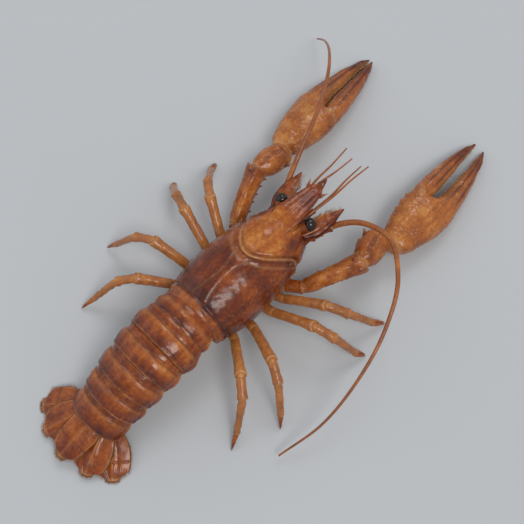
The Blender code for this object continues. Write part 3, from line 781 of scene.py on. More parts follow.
def carapace():
    """The shield over head and thorax, with its grooves, ridges, granules and spines."""
    stumps, tips = carapace_spines()
    form = melt(gather([dome(), rostrum_blade(), *stumps]), voxel=0.28, calm=6)
    plain = form.points
    on = thorax_marks(plain)
    shape_thorax(form, on)
    paint_thorax(form, plain, on)
    return gather([form, *tips, *mouth(), waist()])


def eye_stalk(hand):
    """The short brown stalk of an eye."""
    centre, root = mirrored(hand, (EYE_PLACE, EYE_ROOT))
    shares = np.array((-0.2, 0.3, 0.62, 0.9, 1.02))
    widths = np.array((1.1, 1.35, 1.75, 2.12, 1.6))
    line = root + (centre - root) * shares[:, None]
    stalk = loft(np.column_stack((line, widths, widths * 0.95)), rows=24, sides=28)
    stalk.tone[:] = 0.55
    stalk.pale = 0.25 * bell(stalk.share - 0.35, 0.2)
    return stalk


def eye_ball(hand):
    """The glossy ball of an eye."""
    centre, root = mirrored(hand, (EYE_PLACE, EYE_ROOT))
    shares = np.cos(np.linspace(0, math.pi, 26))[::-1]
    line = centre + unit(centre - root) * (shares * EYE_RADIUS * 0.98)[:, None]
    widths = np.maximum(np.sqrt(1 - shares**2), 0.02) * EYE_RADIUS
    return loft(np.column_stack((line, widths, widths)), rows=30, sides=32)


def sternum():
    """The jointed plates of the underside between the legs."""
    stations = []
    for forward, share, top, bottom in (
        (2.5, 0.45, 9.4, 6.8), (4.0, 0.7, 10.0, 5.2), (10.0, 0.95, 10.4, 4.6), (18.0, 1.0, 10.4, 4.4),
        (26.0, 0.88, 10.4, 4.6), (33.0, 0.66, 10.0, 5.2), (36.0, 0.4, 9.4, 6.6),
    ):
        middle = spot(0, forward, (top + bottom) / 2)
        stations.append((*middle, share * STERNUM_HALF_WIDTH, (top - bottom) / 2))
    form = loft(stations, rows=110, sides=64)
    side, forward = form.points[:, 0], -form.points[:, 1]
    under = ease(form.v, 0.1, -0.3)
    seams = np.zeros(len(forward))
    bosses = np.zeros(len(forward))
    for place in (7.6, 13.2, 19.0, 24.8, 30.4):
        seams = np.maximum(seams, bell(forward - place + 0.42 * np.abs(side), 0.34))
        bosses = np.maximum(bosses, bell(forward - place - 2.0, 1.5) * bells(side, 3.9, 1.1))
    keel = bell(side, 0.3) * (1 - seams)
    flanks = bells(side, 2.0, 0.28)
    relief = -0.4 * seams + 0.25 * keel + 0.4 * bosses - 0.3 * flanks
    form.swell(under * (relief + 0.1 * form.waves(2.6, 5)))
    form.tone = 0.26 + 0.14 * form.waves(3.0, 6) + 0.1 * bosses
    form.pale = 0.3 * under * (1 - seams) + 0.15 * keel
    # Painted shade: darker in the seams between the plates and in the grooves along the flanks
    form.dark_and_shade = (0.42 * seams + 0.18 * flanks) * under
    return form


# Tail


PLATE_THICKNESS = 0.42
PLATE_LEAD = 1.6
PLATE_LAP = 0.7
LOBE_START = 0.7  # share of half the section, from the back's middle
FAN_SEAMS = {"telson": 0.62, "outer": 0.66, "inner": 9.0}  # shares of the length: the inner paddles have none
TELSON = ((-0.13, 4.2), (0.05, 5.2), (0.3, 5.8), (0.6, 5.5), (0.82, 4.9), (0.95, 3.6), (1.0, 2.4))
PADDLE = ((-0.13, 2.2), (0.04, 3.2), (0.25, 5.0), (0.52, 6.0), (0.76, 5.7), (0.93, 4.2), (1.0, 2.4))
PADDLES = (  # style, root aside and ahead of the last hinge, height, turn, seed
    ("inner", (4.0, 0.4), 0.3, -22.0, 61),
    ("outer", (5.8, 1.0), -1.3, -48.0, 62),
)


def tail_plate(number, length, half_width, rise):
    """One arched plate of the tail, with a lobe hanging on each side. It laps over its neighbours."""
    lobe = 3.6 if number == 1 else 6.6 - 0.25 * number
    profile = (  # along the plate, share of its width, of its height and of its lobes
        (-PLATE_LEAD, 0.84, 0.86, 0.46), (0.4, 0.94, 0.93, 0.6), (1.8, 0.96, 0.95, 0.84),
        (3.0, 0.99, 0.99, 0.96), (0.62 * length, 1.01, 1.01, 1.0), (0.9 * length, 1.0, 1.01, 0.84),
        (length + PLATE_LAP, 0.98, 0.99, 0.5),
    )
    back = np.linspace(-PLATE_LEAD, length + PLATE_LAP, 54)
    width, height, drop = columns(profile, back)[:, :, None]
    back = back[:, None]
    q = np.linspace(-1, 1, 121)[None]
    arch = np.clip(q / LOBE_START, -1, 1) * math.pi / 2
    hang = np.clip((np.abs(q) - LOBE_START) / (1 - LOBE_START), 0, 1)
    tuck = np.sign(q) * (0.05 * np.sin(math.pi * hang) - 0.12 * hang**2)
    outer, inner = (
        grid(
            (half_width * width - thinner) * (np.sin(arch) + tuck),
            back + 0.9 * hang**2,
            (rise * height - thinner) * np.cos(arch) - drop * lobe * hang,
        )
        for thinner in (0.0, PLATE_THICKNESS)
    )
    arched = ease(np.abs(q), 0.76, 0.66)
    furrow = bell(back - 2.3, 0.42) * arched * (number > 1)
    seam = bells(q, 0.71, 0.022) * ease(back, 1.5, 3.0)
    middle = 0.55 * length
    cheek = bells(q, 0.86, 0.08) * bell(back - middle, 0.3 * length)
    rear_line = bell(back - (length - 0.5), 0.3)
    ripple = waves(outer, 5.0, 30 + number)
    relief = -0.3 * furrow - 0.22 * seam + 0.38 * cheek - 0.14 * rear_line + 0.08 * ripple
    relief += 0.025 * waves(outer, 1.6, 40 + number) + 0.2 * bell(back - middle, 0.28 * length) * arched
    tone = 0.32 + 0.34 * ease(back, 0.4 * length, length) + 0.1 * ripple - 0.12 * cheek + 0.05 * number / 6
    # Painted shade: the band just behind the edge of the plate ahead is darkened
    tone += 0.09 * waves(outer * (1.0, 0.2, 1.0), 2.0, 45 + number) + 0.22 * bell(back - 1.2, 1.0) * arched
    rim = ease(back, length + 0.25, length + 0.6)
    # The pale band across the top behind the furrow is a painted highlight; the pale rim and lobe ends are
    # the shell's own
    pale = 0.12 * bell(back - 3.3, 0.7) * arched + 0.24 * rim + 0.2 * ease(hang, 0.8, 1.0)
    # Painted shade: darker in the furrow, the side seams, the groove before the rim and on the lead under the
    # plate ahead
    dark_and_shade = 0.3 * furrow + 0.22 * rear_line + 0.25 * seam + 0.35 * ease(back, 0.2, -1.2)
    return plate(outer, inner, relief, tone, pale, dark_and_shade)


def swimmeret(hand, number, length, half_width):
    """One small swimming limb: a stem and two fringed vanes."""
    foot = np.array((hand * 0.56 * half_width, 0.42 * length, -3.8))
    knee = foot + (hand * 0.3, 2.2, -1.5)
    parts = [article(foot, knee, (0.85, 0.7), (0.8, 0.65), rows=20, sides=14)]
    for spread, reach in ((1.0, 6.2), (-0.7, 5.6)):
        tip = knee + (hand * spread, reach, -0.9)
        middle = (knee + tip) / 2 + (0, 0, -0.35)
        vane = loft([(*knee, 0.45, 0.35), (*middle, 1.05, 0.24), (*tip, 0.16, 0.1)], rows=24, sides=14)
        vane.swell(-0.1 * bell(vane.u, 0.2))
        vane.tone = 0.34 + 0.12 * vane.share
        vane.pale[:] = 0.3
        share = np.linspace(0.35, 1.0, 22)[:, None]
        way = (hand * np.sign(spread) * 0.8, 1.0, -0.2)
        roots = middle * (1 - share) + tip * share
        parts += [vane, hairs(roots, way, 1.5, radius=0.05, seed=number)]
    return parts


def tail_belly(number, length, half_width):
    """The soft underside of a tail segment, with its cross bar and its swimmerets."""
    line = (
        (-1.2, 0.6, 0.5), (0, 0.93, 0.9), (0.5 * length, 1, 1), (length, 0.93, 0.9), (length + 0.6, 0.5, 0.4),
    )
    stations = [(0, back, -1.0, share * 0.86 * half_width, 3.3 * deep) for back, share, deep in line]
    form = loft(stations, rows=36, sides=44, power=2.6)
    under = ease(form.v, 0.0, -0.5)
    bar = bell(form.points[:, 1] - 0.42 * length, 0.75) * under
    folds = np.cos(form.points[:, 1] * 4.2 + 0.6 * form.waves(5.0, 55 + number)) * (1 - bar) * under
    form.swell(0.55 * bar + (0.12 * form.waves(2.2, 50 + number) + 0.07 * folds) * under)
    form.tone = 0.2 + 0.24 * bar + 0.08 * form.waves(3.0, 56 + number)
    form.pale = 0.46 * under * (1 - 0.55 * bar)
    # Painted shade: darker over the upper side, inside the plate, and in the troughs of the folds
    form.dark_and_shade = 0.35 * (1 - under) + 0.1 * (folds < -0.4)
    parts = [form]
    if 2 <= number <= 5:
        for hand in (1, -1):
            parts += swimmeret(hand, number, length, half_width)
    return parts


def blade(outline, height, style, seed):
    """One flat blade of the tail fan with its ridges, cross seam and fringe of bristles."""
    seam_at = FAN_SEAMS[style]
    share = np.linspace(outline[0][0], 1.02, 78)
    half_width = columns(outline, np.minimum(share, 1.0))[0][:, None]
    share = share[:, None]
    u = np.linspace(-1, 1, 59)[None]
    back = (share - 0.05 * ease(share, 0.75, 1.0) * np.abs(u) ** 3) * FAN_LENGTH
    level = height - 1.4 * share**2 - 0.25 * u**2
    thick = FAN_THICKNESS / 2 * (1 - 0.55 * u**2) * (1 - 0.35 * ease(share, 0.5, 1.0))
    outer = grid(half_width * u, back, level + thick)
    inner = grid(half_width * u, back, level - thick)
    if style == "telson":
        ridges = 0.26 * bells(u, 0.55, 0.12) * ease(share, 0.75, 0.55) - 0.22 * bell(u, 0.16)
    else:
        ridges = 0.42 * bell(u, 0.09) * ease(share, 1.0, 0.75) - 0.16 * bells(u, 0.3, 0.12)
    rays = np.cos(u * 46 + 2 * share) * ease(share, 0.7, 0.85)
    seam = bell(share - seam_at, 0.014)
    ripple = waves(outer, 4.0, seed)
    relief = ridges - 0.22 * seam + 0.045 * rays + 0.06 * ripple
    tone = 0.4 + 0.16 * ease(share, 0.3, 0.9) + 0.1 * ripple - 0.14 * bell(u, 0.12) + 0.04 * rays
    pale = 0.3 * ease(np.abs(u), 0.88, 1.0) + 0.3 * ease(share, 0.93, 1.0) + 0.1 * bell(u, 0.08)
    # Painted shade: darker in the cross seam and at the root that tucks under the tail
    parts = [plate(outer, inner, relief, tone, pale, 0.3 * seam + 0.3 * ease(share, 0.02, -0.1))]
    rows = np.flatnonzero(share[:, 0] > (seam_at if style == "telson" else 0.3))
    middle = (outer + inner) / 2
    rim = np.concatenate((middle[rows, 0], middle[-1], middle[rows[::-1], -1]))
    ways = unit((rim - (0.0, 0.35 * FAN_LENGTH, rim[:, 2].mean())) * (1, 1, 0.3)) + (0, 0.55, 0)
    random = np.random.default_rng(seed)
    picked = random.choice(len(rim), 190)
    roots = rim[picked] + random.normal(scale=0.06, size=(190, 3))
    parts.append(hairs(roots, ways[picked], 1.25, radius=0.055, seed=seed, tone=0.45))
    if style != "inner":
        row = np.argmin(np.abs(share - seam_at))
        for column, hand in ((0, -1), (-1, 1)):
            root = middle[row, column] - (hand * 0.3, 0.3, 0)
            parts.append(thorn(root, (hand * 0.45, 1, 0), 1.3, 0.42))
    return gather(parts)


def pitch_matrix(pitch, roll=0.0, yaw=0.0):
    """The rotation that rolls a piece about its length, then pitches it nose up and turns it, in degrees."""
    angles = (-math.radians(pitch), math.radians(roll), math.radians(yaw))
    return Euler(angles, "YXZ").to_matrix()


def dress_tail():
    """Six overlapping segments and the fan."""
    hinge = spot(*TAIL_HINGE)
    for number, (length, slope, half_width, rise) in enumerate(TAIL_SEGMENTS, start=1):
        shield = tail_plate(number, length, half_width, rise)
        segment = gather([shield, *tail_belly(number, length, half_width)])
        segment.turned(pitch_matrix(slope), hinge)
        publish(f"tail_plate_{number}", segment, "shell", f"tail_segment_{number}")
        step = math.radians(slope)
        hinge = hinge + spot(0, -length * math.cos(step), -length * math.sin(step))
    form = blade(TELSON, 1.9, "telson", 60).turned(pitch_matrix(FAN_SLOPE), hinge)
    publish("telson_blade", form, "shell", "telson")
    for side_name, hand in SIDES:
        for style, (aside, ahead), height, turn, seed in PADDLES:
            form = blade(PADDLE, height, style, seed + hand)
            form.turned(pitch_matrix(FAN_SLOPE, 0.0, hand * turn), hinge + spot(hand * aside, ahead, 0))
            publish(f"{style}_paddle_blade_{side_name}", form, "shell", f"{style}_paddle_{side_name}")


# Jointed limbs


def article(
    start, end, near, far, up=UP, bend=(0, 0, -1), bow=(0, 0, 0), rows=38, sides=24,
    neck=0.8, flare=1.04, rim=0.3, lobes=1.0, tone=0.4,
):
    """One joint of a limb: a neck, a shaft that may bow, and a rim that is hollow at its end.

    The rim reaches over the next joint at its sides and stands back on the side that the limb bends to.
    """
    length = np.linalg.norm(end - start)
    ahead = (end - start) / length
    profile = (  # share of the length, share of the girth
        (-0.03, 0.45 * neck), (0.0, neck), (0.05, 0.5 + 0.5 * neck), (0.17, 0.99), (0.5, 0.95), (0.8, 0.97),
        (0.93, flare), (0.975, flare), (1.0, flare * 0.92), (0.995, flare * 0.78), (0.95, flare * 0.55),
    )
    stations = []
    for share, girth in profile:
        place = start + (end - start) * share + np.asarray(bow) * math.sin(math.pi * min(max(share, 0), 1))
        wide, deep = ((first + (last - first) * share) * girth for first, last in zip(near, far))
        stations.append((*place, wide, deep))
    form = loft(stations, rows=rows, sides=sides, up=up, heading=ahead)
    form.share = (form.points - start) @ ahead / length
    inward = unit(np.asarray(bend) - ahead * (ahead @ bend))
    offset = (form.points - start - ahead * (form.share * length)[:, None]) / max(far)
    aside = np.abs(offset @ np.cross(ahead, inward))
    reach = 0.26 * ease(aside, 0.45, 0.95) - 0.42 * ease(offset @ inward, 0.15, 0.95)
    reach *= max(far) * ease(form.share, 1 - min(1.4 * max(far) / length, 0.5), 1.0) * lobes
    form.points = form.points + ahead * reach[:, None]
    form.tone[:] = tone
    form.pale = rim * (ease(form.share, 0.06, 0.0) + ease(form.share, 0.93, 0.99))
    return form


def joint_ball(place, radius, stretch=(1, 1, 1)):
    """The soft pale skin inside a joint."""
    rise = np.linspace(-1, 1, 14)
    width = np.maximum(np.sqrt(1 - rise**2), 0.03) * radius
    stations = [(0, 0, h * radius, w, w) for h, w in zip(rise, width)]
    form = loft(stations, rows=16, sides=18, up=LEVEL, heading=UP)
    form.points = form.points * stretch + place
    form.tone[:] = 0.22
    form.pale[:] = 0.32
    return form


def bristled(form, shares, length, count, seed, facing=None):
    """Bristles that stand on a form within shares of its length, leaning towards its far end."""
    random = np.random.default_rng(seed)
    normals = form.normals()
    chosen = (form.share > shares[0]) & (form.share < shares[1])
    if facing is not None:
        chosen &= normals @ facing > 0.25
    spots = random.choice(np.flatnonzero(chosen), count)
    far = form.points[form.share > 0.9].mean(axis=0) - form.points[form.share < 0.1].mean(axis=0)
    ways = normals[spots] * 0.8 + unit(far) * 0.9
    return hairs(form.points[spots], ways, length, radius=0.055, seed=seed, tone=0.45, pale=0.45)


def shifted_leg(joints, turn, rise):
    """A leg's joints, turned forward about its hip by degrees and with its knee raised."""
    joints = np.array(joints)
    sine, cosine = math.sin(math.radians(turn)), math.cos(math.radians(turn))
    hip = joints[1, :2]
    joints[2:, :2] = hip + (joints[2:, :2] - hip) @ ((cosine, sine), (-sine, cosine))
    joints[2:4, 2] += (rise, 0.6 * rise)
    return joints


def toes(ankle, tip, pincer, seed):
    """The last joint of a leg: one pointed toe, or the two of a small pincer."""
    apart = unit(np.cross(unit(tip - ankle), UP)) * 0.62
    thin = 0.72 if pincer else 0.92
    parts = []
    for k, shift in enumerate((apart, -apart) if pincer else (apart * 0,)):
        stations = []
        for share, girth in ((-0.14, 0.9), (0.05, 1.02), (0.3, 0.84), (0.65, 0.52), (0.9, 0.26), (1.0, 0.08)):
            place = ankle + (tip - ankle) * share + shift * (1 - 0.75 * max(share, 0) ** 2)
            place[2] += 0.275 * math.sin(math.pi * max(share, 0))
            stations.append((*place, thin * girth, thin * girth))
        toe = loft(stations, rows=30, sides=14, up=LEVEL)
        toe.tone = 0.32 + 0.3 * ease(toe.share, 0.3, 0.8)
        toe.pale = 0.3 * ease(toe.share, 0.25, 0.0) + 0.4 * ease(toe.share, 0.78, 0.95)
        parts += [toe, bristled(toe, (0.15, 0.8), 0.55, 34, seed + k)]
    return parts


def walking_leg(hand, number, joints):
    """A walking leg of six joints; the first two pairs end in small pincers."""
    root, hip, knee, wrist, ankle, tip = mirrored(hand, joints)
    middle = root * 0.56 + hip * 0.44
    seed = 70 + number * 2 + hand
    lift = np.array((0, 0, 0.55))
    inward = (-hand, 0, -0.6)
    coxa = article(root, middle, (1.9, 2.2), (1.8, 2.0), LEVEL, neck=0.95, flare=0.98, tone=0.24, lobes=0.4)
    ischium = article(
        middle, hip, (1.55, 1.75), (1.6, 1.8), LEVEL, neck=0.92, flare=0.96, tone=0.26, rim=0.15, lobes=0.3,
    )
    merus = article(
        hip, knee, (1.5, 1.7), (1.8, 1.95), LEVEL, bow=lift, rows=48, neck=0.9, flare=1.07, tone=0.24,
    )
    carpus = article(
        knee, wrist, (1.45, 1.6), (1.6, 1.75), LEVEL, inward, lift * 0.5, neck=0.86, flare=1.05, tone=0.27,
    )
    propodus = article(
        wrist, ankle, (1.4, 1.52), (1.1, 1.2), LEVEL, inward, lift * 0.4, rows=44,
        flare=1.0, tone=0.28, rim=0.2, lobes=0.6,
    )
    parts = [coxa, ischium, merus, carpus, propodus]
    for form in parts:
        flutes = bell(np.abs(form.u) * np.sign(form.v + 0.3) - 0.62, 0.2) * bell(form.share - 0.5, 0.32)
        form.swell(0.09 * form.waves(2.4, seed) - 0.13 * flutes)
        form.tone += 0.12 * form.waves(4.0, seed + 1) + 0.1 * bell(form.share - 0.5, 0.3)
        form.pale += 0.24
    for place, radius in ((middle, 1.55), (hip, 1.4), (knee, 1.5), (wrist, 1.25)):
        parts.append(joint_ball(place, radius))
    parts += toes(ankle, tip, number <= 2, seed + 10)
    parts.append(joint_ball(ankle, 1.0))
    parts.append(bristled(propodus, (0.3, 0.95), 0.6, 50, seed + 20))
    parts.append(bristled(carpus, (0.25, 0.95), 0.55, 22, seed + 30))
    parts.append(bristled(merus, (0.3, 0.95), 0.5, 26, seed + 40))
    return gather(parts)


def arm(hand):
    """The claw's upper arm: hip, thigh and the long joint with its spines."""
    places = ((6.6, 30.2, 7.6), (11.5, 31.3, 7.7), (16.5, 34.7, 8.7), (25.3, 54.3, 13.0), (20.6, 43.2, 11.3))
    root, hip, start, end, middle = mirrored(hand, places)
    bow = middle - (start + end) / 2
    base = article(root, hip, (2.5, 2.3), (2.7, 2.5), tone=0.36, lobes=0.5)
    thigh = article(hip, start, (2.5, 2.3), (2.4, 2.4), tone=0.36, lobes=0.5)
    form = article(start, end, (2.7, 3.0), (3.75, 4.15), bow=bow, rows=90, sides=48, flare=1.06)
    flat = np.abs(form.u) * (form.v > 0)
    form.swell(-0.3 * bell(flat - 0.6, 0.25) + 0.1 * form.waves(3.2, 80 + hand))
    chances = 0.05 * within(form.share, 0.15, 0.4, 0.88, 0.93)
    grain, tops = grained(
        form.points, chances, spacing=1.3, count=90, seed=82 + hand, radii=(0.5, 0.5), steepness=0.32,
    )
    form.swell(grain)
    form.tone = 0.27 + 0.12 * form.waves(5.0, 83) + 0.16 * ease(form.share, 0.6, 0.9)
    form.pale = np.maximum(form.pale + 0.05, 0.25 * tops)
    ahead = unit(end - start)
    balls = [joint_ball(*ball) for ball in ((hip, 2.1), (start, 2.1), (end - ahead * 0.7, 2.9))]
    parts = [base, thigh, form, *balls]
    top = form.points[(form.share > 0.86) & (form.share < 0.9)]
    for way, size in (((0, 0, 1), 2.1), ((hand * 0.6, 0, 0.8), 1.5)):
        way = np.array(way, float)
        parts.append(thorn(top[np.argmax(top @ way)] - way * 0.4, way * 0.55 + ahead, size, 0.75))
    inner = np.array((-hand, -0.4, 0.0))
    for share in (0.3, 0.45, 0.6, 0.74, 0.86):
        ring = form.points[np.abs(form.share - share) < 0.015]
        root = ring[np.argmax(ring @ (inner + (0, 0, -0.5)))] + ahead * 0.1
        parts.append(thorn(root, inner * 0.9 + ahead * 0.5 + (0, 0, -0.3), 1.0 + 0.5 * share, 0.6))
    return gather(parts)


def wrist(hand):
    """The short swollen joint between arm and claw, furrowed along its back and spined on its inner side."""
    outline = (
        (-0.02, 1.2, 1.2), (0.0, 2.2, 2.2), (0.06, 3.0, 2.8), (0.17, 3.9, 3.6), (0.49, 5.1, 4.4),
        (0.77, 5.0, 4.4), (0.9, 4.5, 4.0), (0.97, 4.1, 3.7), (1.0, 3.4, 3.1), (0.98, 2.4, 2.3),
    )
    stations = [(0, -share * WRIST_LENGTH, 0, width, depth) for share, width, depth in outline]
    form = loft(stations, rows=90, sides=64, heading=(0, -1, 0))
    share = -form.points[:, 1] / WRIST_LENGTH
    inner = -form.points[:, 0] * hand / 5.0
    furrow = bell(inner - 0.1 - 0.25 * (share - 0.5), 0.13) * (form.v > 0)
    furrow *= within(share, 0.12, 0.25, 0.8, 0.92)
    collar = bell(share - 0.9, 0.03)
    form.swell(-0.5 * furrow + 0.16 * collar + 0.12 * form.waves(3.5, 90 + hand))
    chances = 0.06 * within(share, 0.12, 0.2, 0.84, 0.9)
    grain, tops = grained(
        form.points, chances, spacing=1.25, count=120, seed=92 + hand, radii=(0.4, 0.65), steepness=0.24,
        radii_seed=93,
    )
    form.swell(grain)
    # Painted shade: the furrow along the back is darkened, in tone here and in the dark mark below
    form.tone = 0.3 + 0.14 * form.waves(5.0, 94) + 0.16 * furrow
    form.pale = 0.05 + 0.12 * tops + 0.2 * collar + 0.35 * (ease(share, 0.06, 0.0) + ease(share, 0.95, 0.99))
    form.dark_and_shade = 0.18 * furrow
    parts = [form]
    for place, rise, size, girth in ((0.72, 0.3, 2.6, 1.1), (0.48, 0.2, 1.5, 0.8), (0.8, -0.45, 1.6, 0.8)):
        ring = form.points[np.abs(share - place) < 0.012]
        way = np.array((-hand, 0.0, rise))
        parts.append(thorn(ring[np.argmax(ring @ way)] - way * 0.5, way * 0.9 + (0, -0.8, 0), size, girth))
    parts.append(joint_ball((0, -0.985 * WRIST_LENGTH, 0), 2.9))
    return gather(parts)


# Claws, each in its own frame: its knuckle is the origin, and it points ahead


PALM_PROFILE = (  # share of the length, outer and inner edge, half depth
    (0.0, 0.3, -0.3, 0.45), (0.035, 0.5, -0.48, 0.7), (0.14, 0.76, -0.74, 0.92),
    (0.28, 0.97, -0.94, 1.02), (0.385, 1.04, -0.98, 0.98), (0.45, 1.0, -0.22, 0.89),
    (0.55, 0.89, 0.05, 0.74), (0.7, 0.7, 0.07, 0.58), (0.85, 0.46, 0.05, 0.41),
    (0.95, 0.25, 0.0, 0.24), (1.0, 0.08, -0.02, 0.07),
)
FINGER_PROFILE = (
    (0.375, -0.42, -0.72, 0.42), (0.425, -0.26, -0.94, 0.66), (0.53, -0.12, -0.88, 0.66),
    (0.68, -0.08, -0.71, 0.55), (0.83, -0.05, -0.49, 0.4), (0.94, -0.02, -0.25, 0.23),
    (0.995, 0.01, -0.08, 0.07),
)


class ClawHalf:
    """The palm with its fixed finger, or the moving finger: its edge for biting is inner, -1, or outer, 1."""

    def __init__(self, profile, hand, gape, edge):
        self.profile = profile
        self.hand = hand
        self.slope = math.tan(math.radians(gape))
        self.edge = edge

    def section(self, share):
        """The middle, half width and half depth, in millimetres on the outer side."""
        outer, inner, deep = columns(self.profile, share)
        opened = self.slope * np.maximum(0, share - FINGER_HINGE) * CLAW_LENGTH
        middle = (outer + inner) / 2 * CLAW_HALF_WIDTH - opened
        return middle, (outer - inner) / 2 * CLAW_HALF_WIDTH, deep * CLAW_HALF_DEPTH

    def skin(self, rows, sides):
        """The plain skin."""
        share = np.linspace(self.profile[0][0], self.profile[-1][0], rows)
        middle, half_width, half_depth = (measure[:, None] for measure in self.section(share))
        u, v = round_ring(sides, 2 / 0.92)
        side = self.hand * (middle + half_width * u)
        return wrap(grid(side, -share[:, None] * CLAW_LENGTH, half_depth * v))

    def marks(self, form):
        """Where each point lies: share of the length, across from inner -1 to outer 1, and level."""
        share = np.clip(-form.points[:, 1] / CLAW_LENGTH, self.profile[0][0], self.profile[-1][0])
        middle, half_width, half_depth = self.section(share)
        across = (form.points[:, 0] * self.hand - middle) / np.maximum(half_width, 0.3)
        return share, across, form.points[:, 2] / np.maximum(half_depth, 0.3)

    def teeth(self, points, seed):
        """Rounded teeth along the cutting edge, as granules."""
        shares = np.arange(0.47, 0.965, 0.0235)
        middle, half_width, _ = self.section(shares)
        places = grid(self.hand * (middle + self.edge * half_width), -shares * CLAW_LENGTH, 0.0)
        radii = np.random.default_rng(seed).uniform(0.62, 0.95, len(shares)) * (1.1 - 0.35 * shares)
        return granules(points, places, radii, radii * 0.62)

    def tufts(self, seed):
        """Short bristles in tufts along both sides of the cutting edge."""
        random = np.random.default_rng(seed)
        shares = np.repeat(np.arange(0.48, 0.95, 0.036), 9)
        shares = shares + random.normal(scale=0.0025, size=len(shares))
        middle, half_width, half_depth = self.section(shares)
        level = np.where(random.random(len(shares)) < 0.5, 1, -1) * half_depth * 0.45
        side = self.hand * (middle + self.edge * half_width * 0.86)
        roots = grid(side, -shares * CLAW_LENGTH, level)
        ways = grid(self.hand * self.edge * 0.7, -0.8, level * 0.2)
        return hairs(roots, ways, 0.95, radius=0.05, seed=seed, pale=0.4)


def finger_furrows(share, across, level):
    """Two grooves along a finger's back and two below, which leave a ridge between them."""
    lines = bell(across - 0.42, 0.14) + bell(across + 0.38, 0.14)
    return lines * within(share, 0.45, 0.56, 0.86, 0.97) * ease(np.abs(level), 0.3, 0.6)


def palm(hand):
    """The claw's palm and its fixed finger."""
    claw = ClawHalf(PALM_PROFILE, hand, 0.0, -1)
    places = [spot(hand * KNOBS_ASIDE, KNOBS_AHEAD, up) for up in (KNOBS_RISE, -KNOBS_RISE)]
    knobs = [joint_ball(place, 1.7, (1.1, 1.3, 0.9)) for place in places]
    for share in (0.09, 0.155, 0.22, 0.285, 0.345):
        middle, half_width, _ = claw.section(np.array([share]))
        root = spot(hand * (middle[0] - half_width[0] + 0.3), share * CLAW_LENGTH, 0.9)
        knobs.append(thorn(root, (-hand, -0.7, 0.15), 1.25, 0.75))
    form = melt(gather([claw.skin(150, 60), *knobs]), voxel=0.26, calm=5)
    share, across, level = claw.marks(form)
    furrows = finger_furrows(share, across, level)
    ripple = 0.14 * form.waves(6.0, 100 + hand) + 0.05 * form.waves(2.0, 101)
    form.swell(ripple - 0.26 * furrows)
    chances = 0.05 * within(share, 0.02, 0.06, 0.42, 0.47) + 0.015 * within(share, 0.45, 0.5, 0.6, 0.8)
    grain, tops = grained(
        form.points, chances, spacing=1.15, count=420, seed=102 + hand, radii=(0.4, 0.72), steepness=0.2,
        radii_seed=103, boost=1 + 0.35 * (across < -0.6),
    )
    bite, biting = claw.teeth(form.points, 104 + hand)
    form.swell(grain + bite)
    finger = ease(share, 0.43, 0.6)
    hinge = np.linalg.norm(form.points - spot(hand * KNOBS_ASIDE, KNOBS_AHEAD, KNOBS_RISE + 0.3), axis=1)
    form.tone = 0.2 + 0.22 * finger + 0.32 * ease(share, 0.72, 0.98) + 0.12 * form.waves(8.0, 105)
    # Painted shade: the furrows along the finger are darkened, in tone here and in the dark mark below
    form.tone += 0.22 * furrows + 0.14 * ease(np.abs(across), 0.5, 0.95) * (1 - finger)
    form.tone += 0.08 * form.waves(2.4, 106, (1.0, 0.22, 1.0)) - 0.1 * ease(level, -0.1, -0.7)
    form.pale = 0.3 * bell(across + 1.0, 0.3) * finger + 0.08 * tops + 0.5 * biting * finger
    form.pale += 0.35 * ease(share, 0.045, 0.015) + 0.35 * ease(hinge, 2.3, 1.2)
    form.pale += 0.1 * ease(level, -0.2, -0.8) + 0.1 * ease(share, 0.9, 0.6)
    # Painted shade in the furrows; the darker tip is the finger's own colour
    form.dark_and_shade = 0.46 * furrows * finger + 0.2 * ease(share, 0.9, 1.0)
    return gather([form, claw.tufts(120 + hand)])


def moving_finger(hand, gape):
    """The claw's moving finger, hinged between two knobs at the end of the palm."""
    claw = ClawHalf(FINGER_PROFILE, hand, gape, 1)
    root = joint_ball(spot(hand * (KNOBS_ASIDE + 0.2), KNOBS_AHEAD, 0), 2.5, (1.15, 1.0, 1.1))
    form = melt(gather([claw.skin(110, 48), root]), voxel=0.24, calm=4)
    share, across, level = claw.marks(form)
    furrows = finger_furrows(share, across, level)
    form.swell(-0.22 * furrows + 0.1 * form.waves(4.0, 110 + hand))
    chances = 0.04 * within(share, 0.42, 0.46, 0.6, 0.8) * ease(across, 0.1, -0.4)
    grain, tops = grained(
        form.points, chances, spacing=1.3, count=90, seed=112 + hand, radii=(0.55, 0.55), steepness=0.22,
    )
    bite, biting = claw.teeth(form.points, 114 + hand)
    form.swell(grain + bite)
    # Painted shade: the furrows are darkened, in tone here and in the dark mark below
    form.tone = 0.34 + 0.38 * ease(share, 0.6, 0.97) + 0.1 * form.waves(6.0, 115) + 0.22 * furrows
    form.tone += 0.08 * form.waves(2.2, 116, (1.0, 0.22, 1.0))
    form.pale = 0.3 * bell(across - 1.0, 0.3) + 0.08 * tops + 0.5 * biting + 0.45 * ease(share, 0.43, 0.39)
    form.pale += 0.08 * ease(share, 0.9, 0.6)
    # Painted shade in the furrows; the darker tip is the finger's own colour
    form.dark_and_shade = 0.46 * furrows + 0.2 * ease(share, 0.9, 1.0)
    return gather([form, claw.tufts(122 + hand)])


def dress_claw(side_name, hand):
    """The whole arm with its claw."""
    pose = ARM_POSES[side_name]
    for name, form, place, angles, node in (
        ("arm_joints", arm(hand), None, None, "arm"),
        ("wrist_joint", wrist(hand), "elbow", "wrist", "wrist"),
        ("claw_palm", palm(hand), "knuckle", "claw", "claw"),
        ("claw_finger", moving_finger(hand, pose["gape"]), "knuckle", "claw", "finger"),
    ):
        if place:
            pitch, roll, yaw = pose[angles]
            form.turned(pitch_matrix(pitch, hand * roll, hand * yaw), mirrored(hand, pose[place]))
        publish(f"{name}_{side_name}", form, "claw", f"{node}_{side_name}")


# Feelers and mouthparts


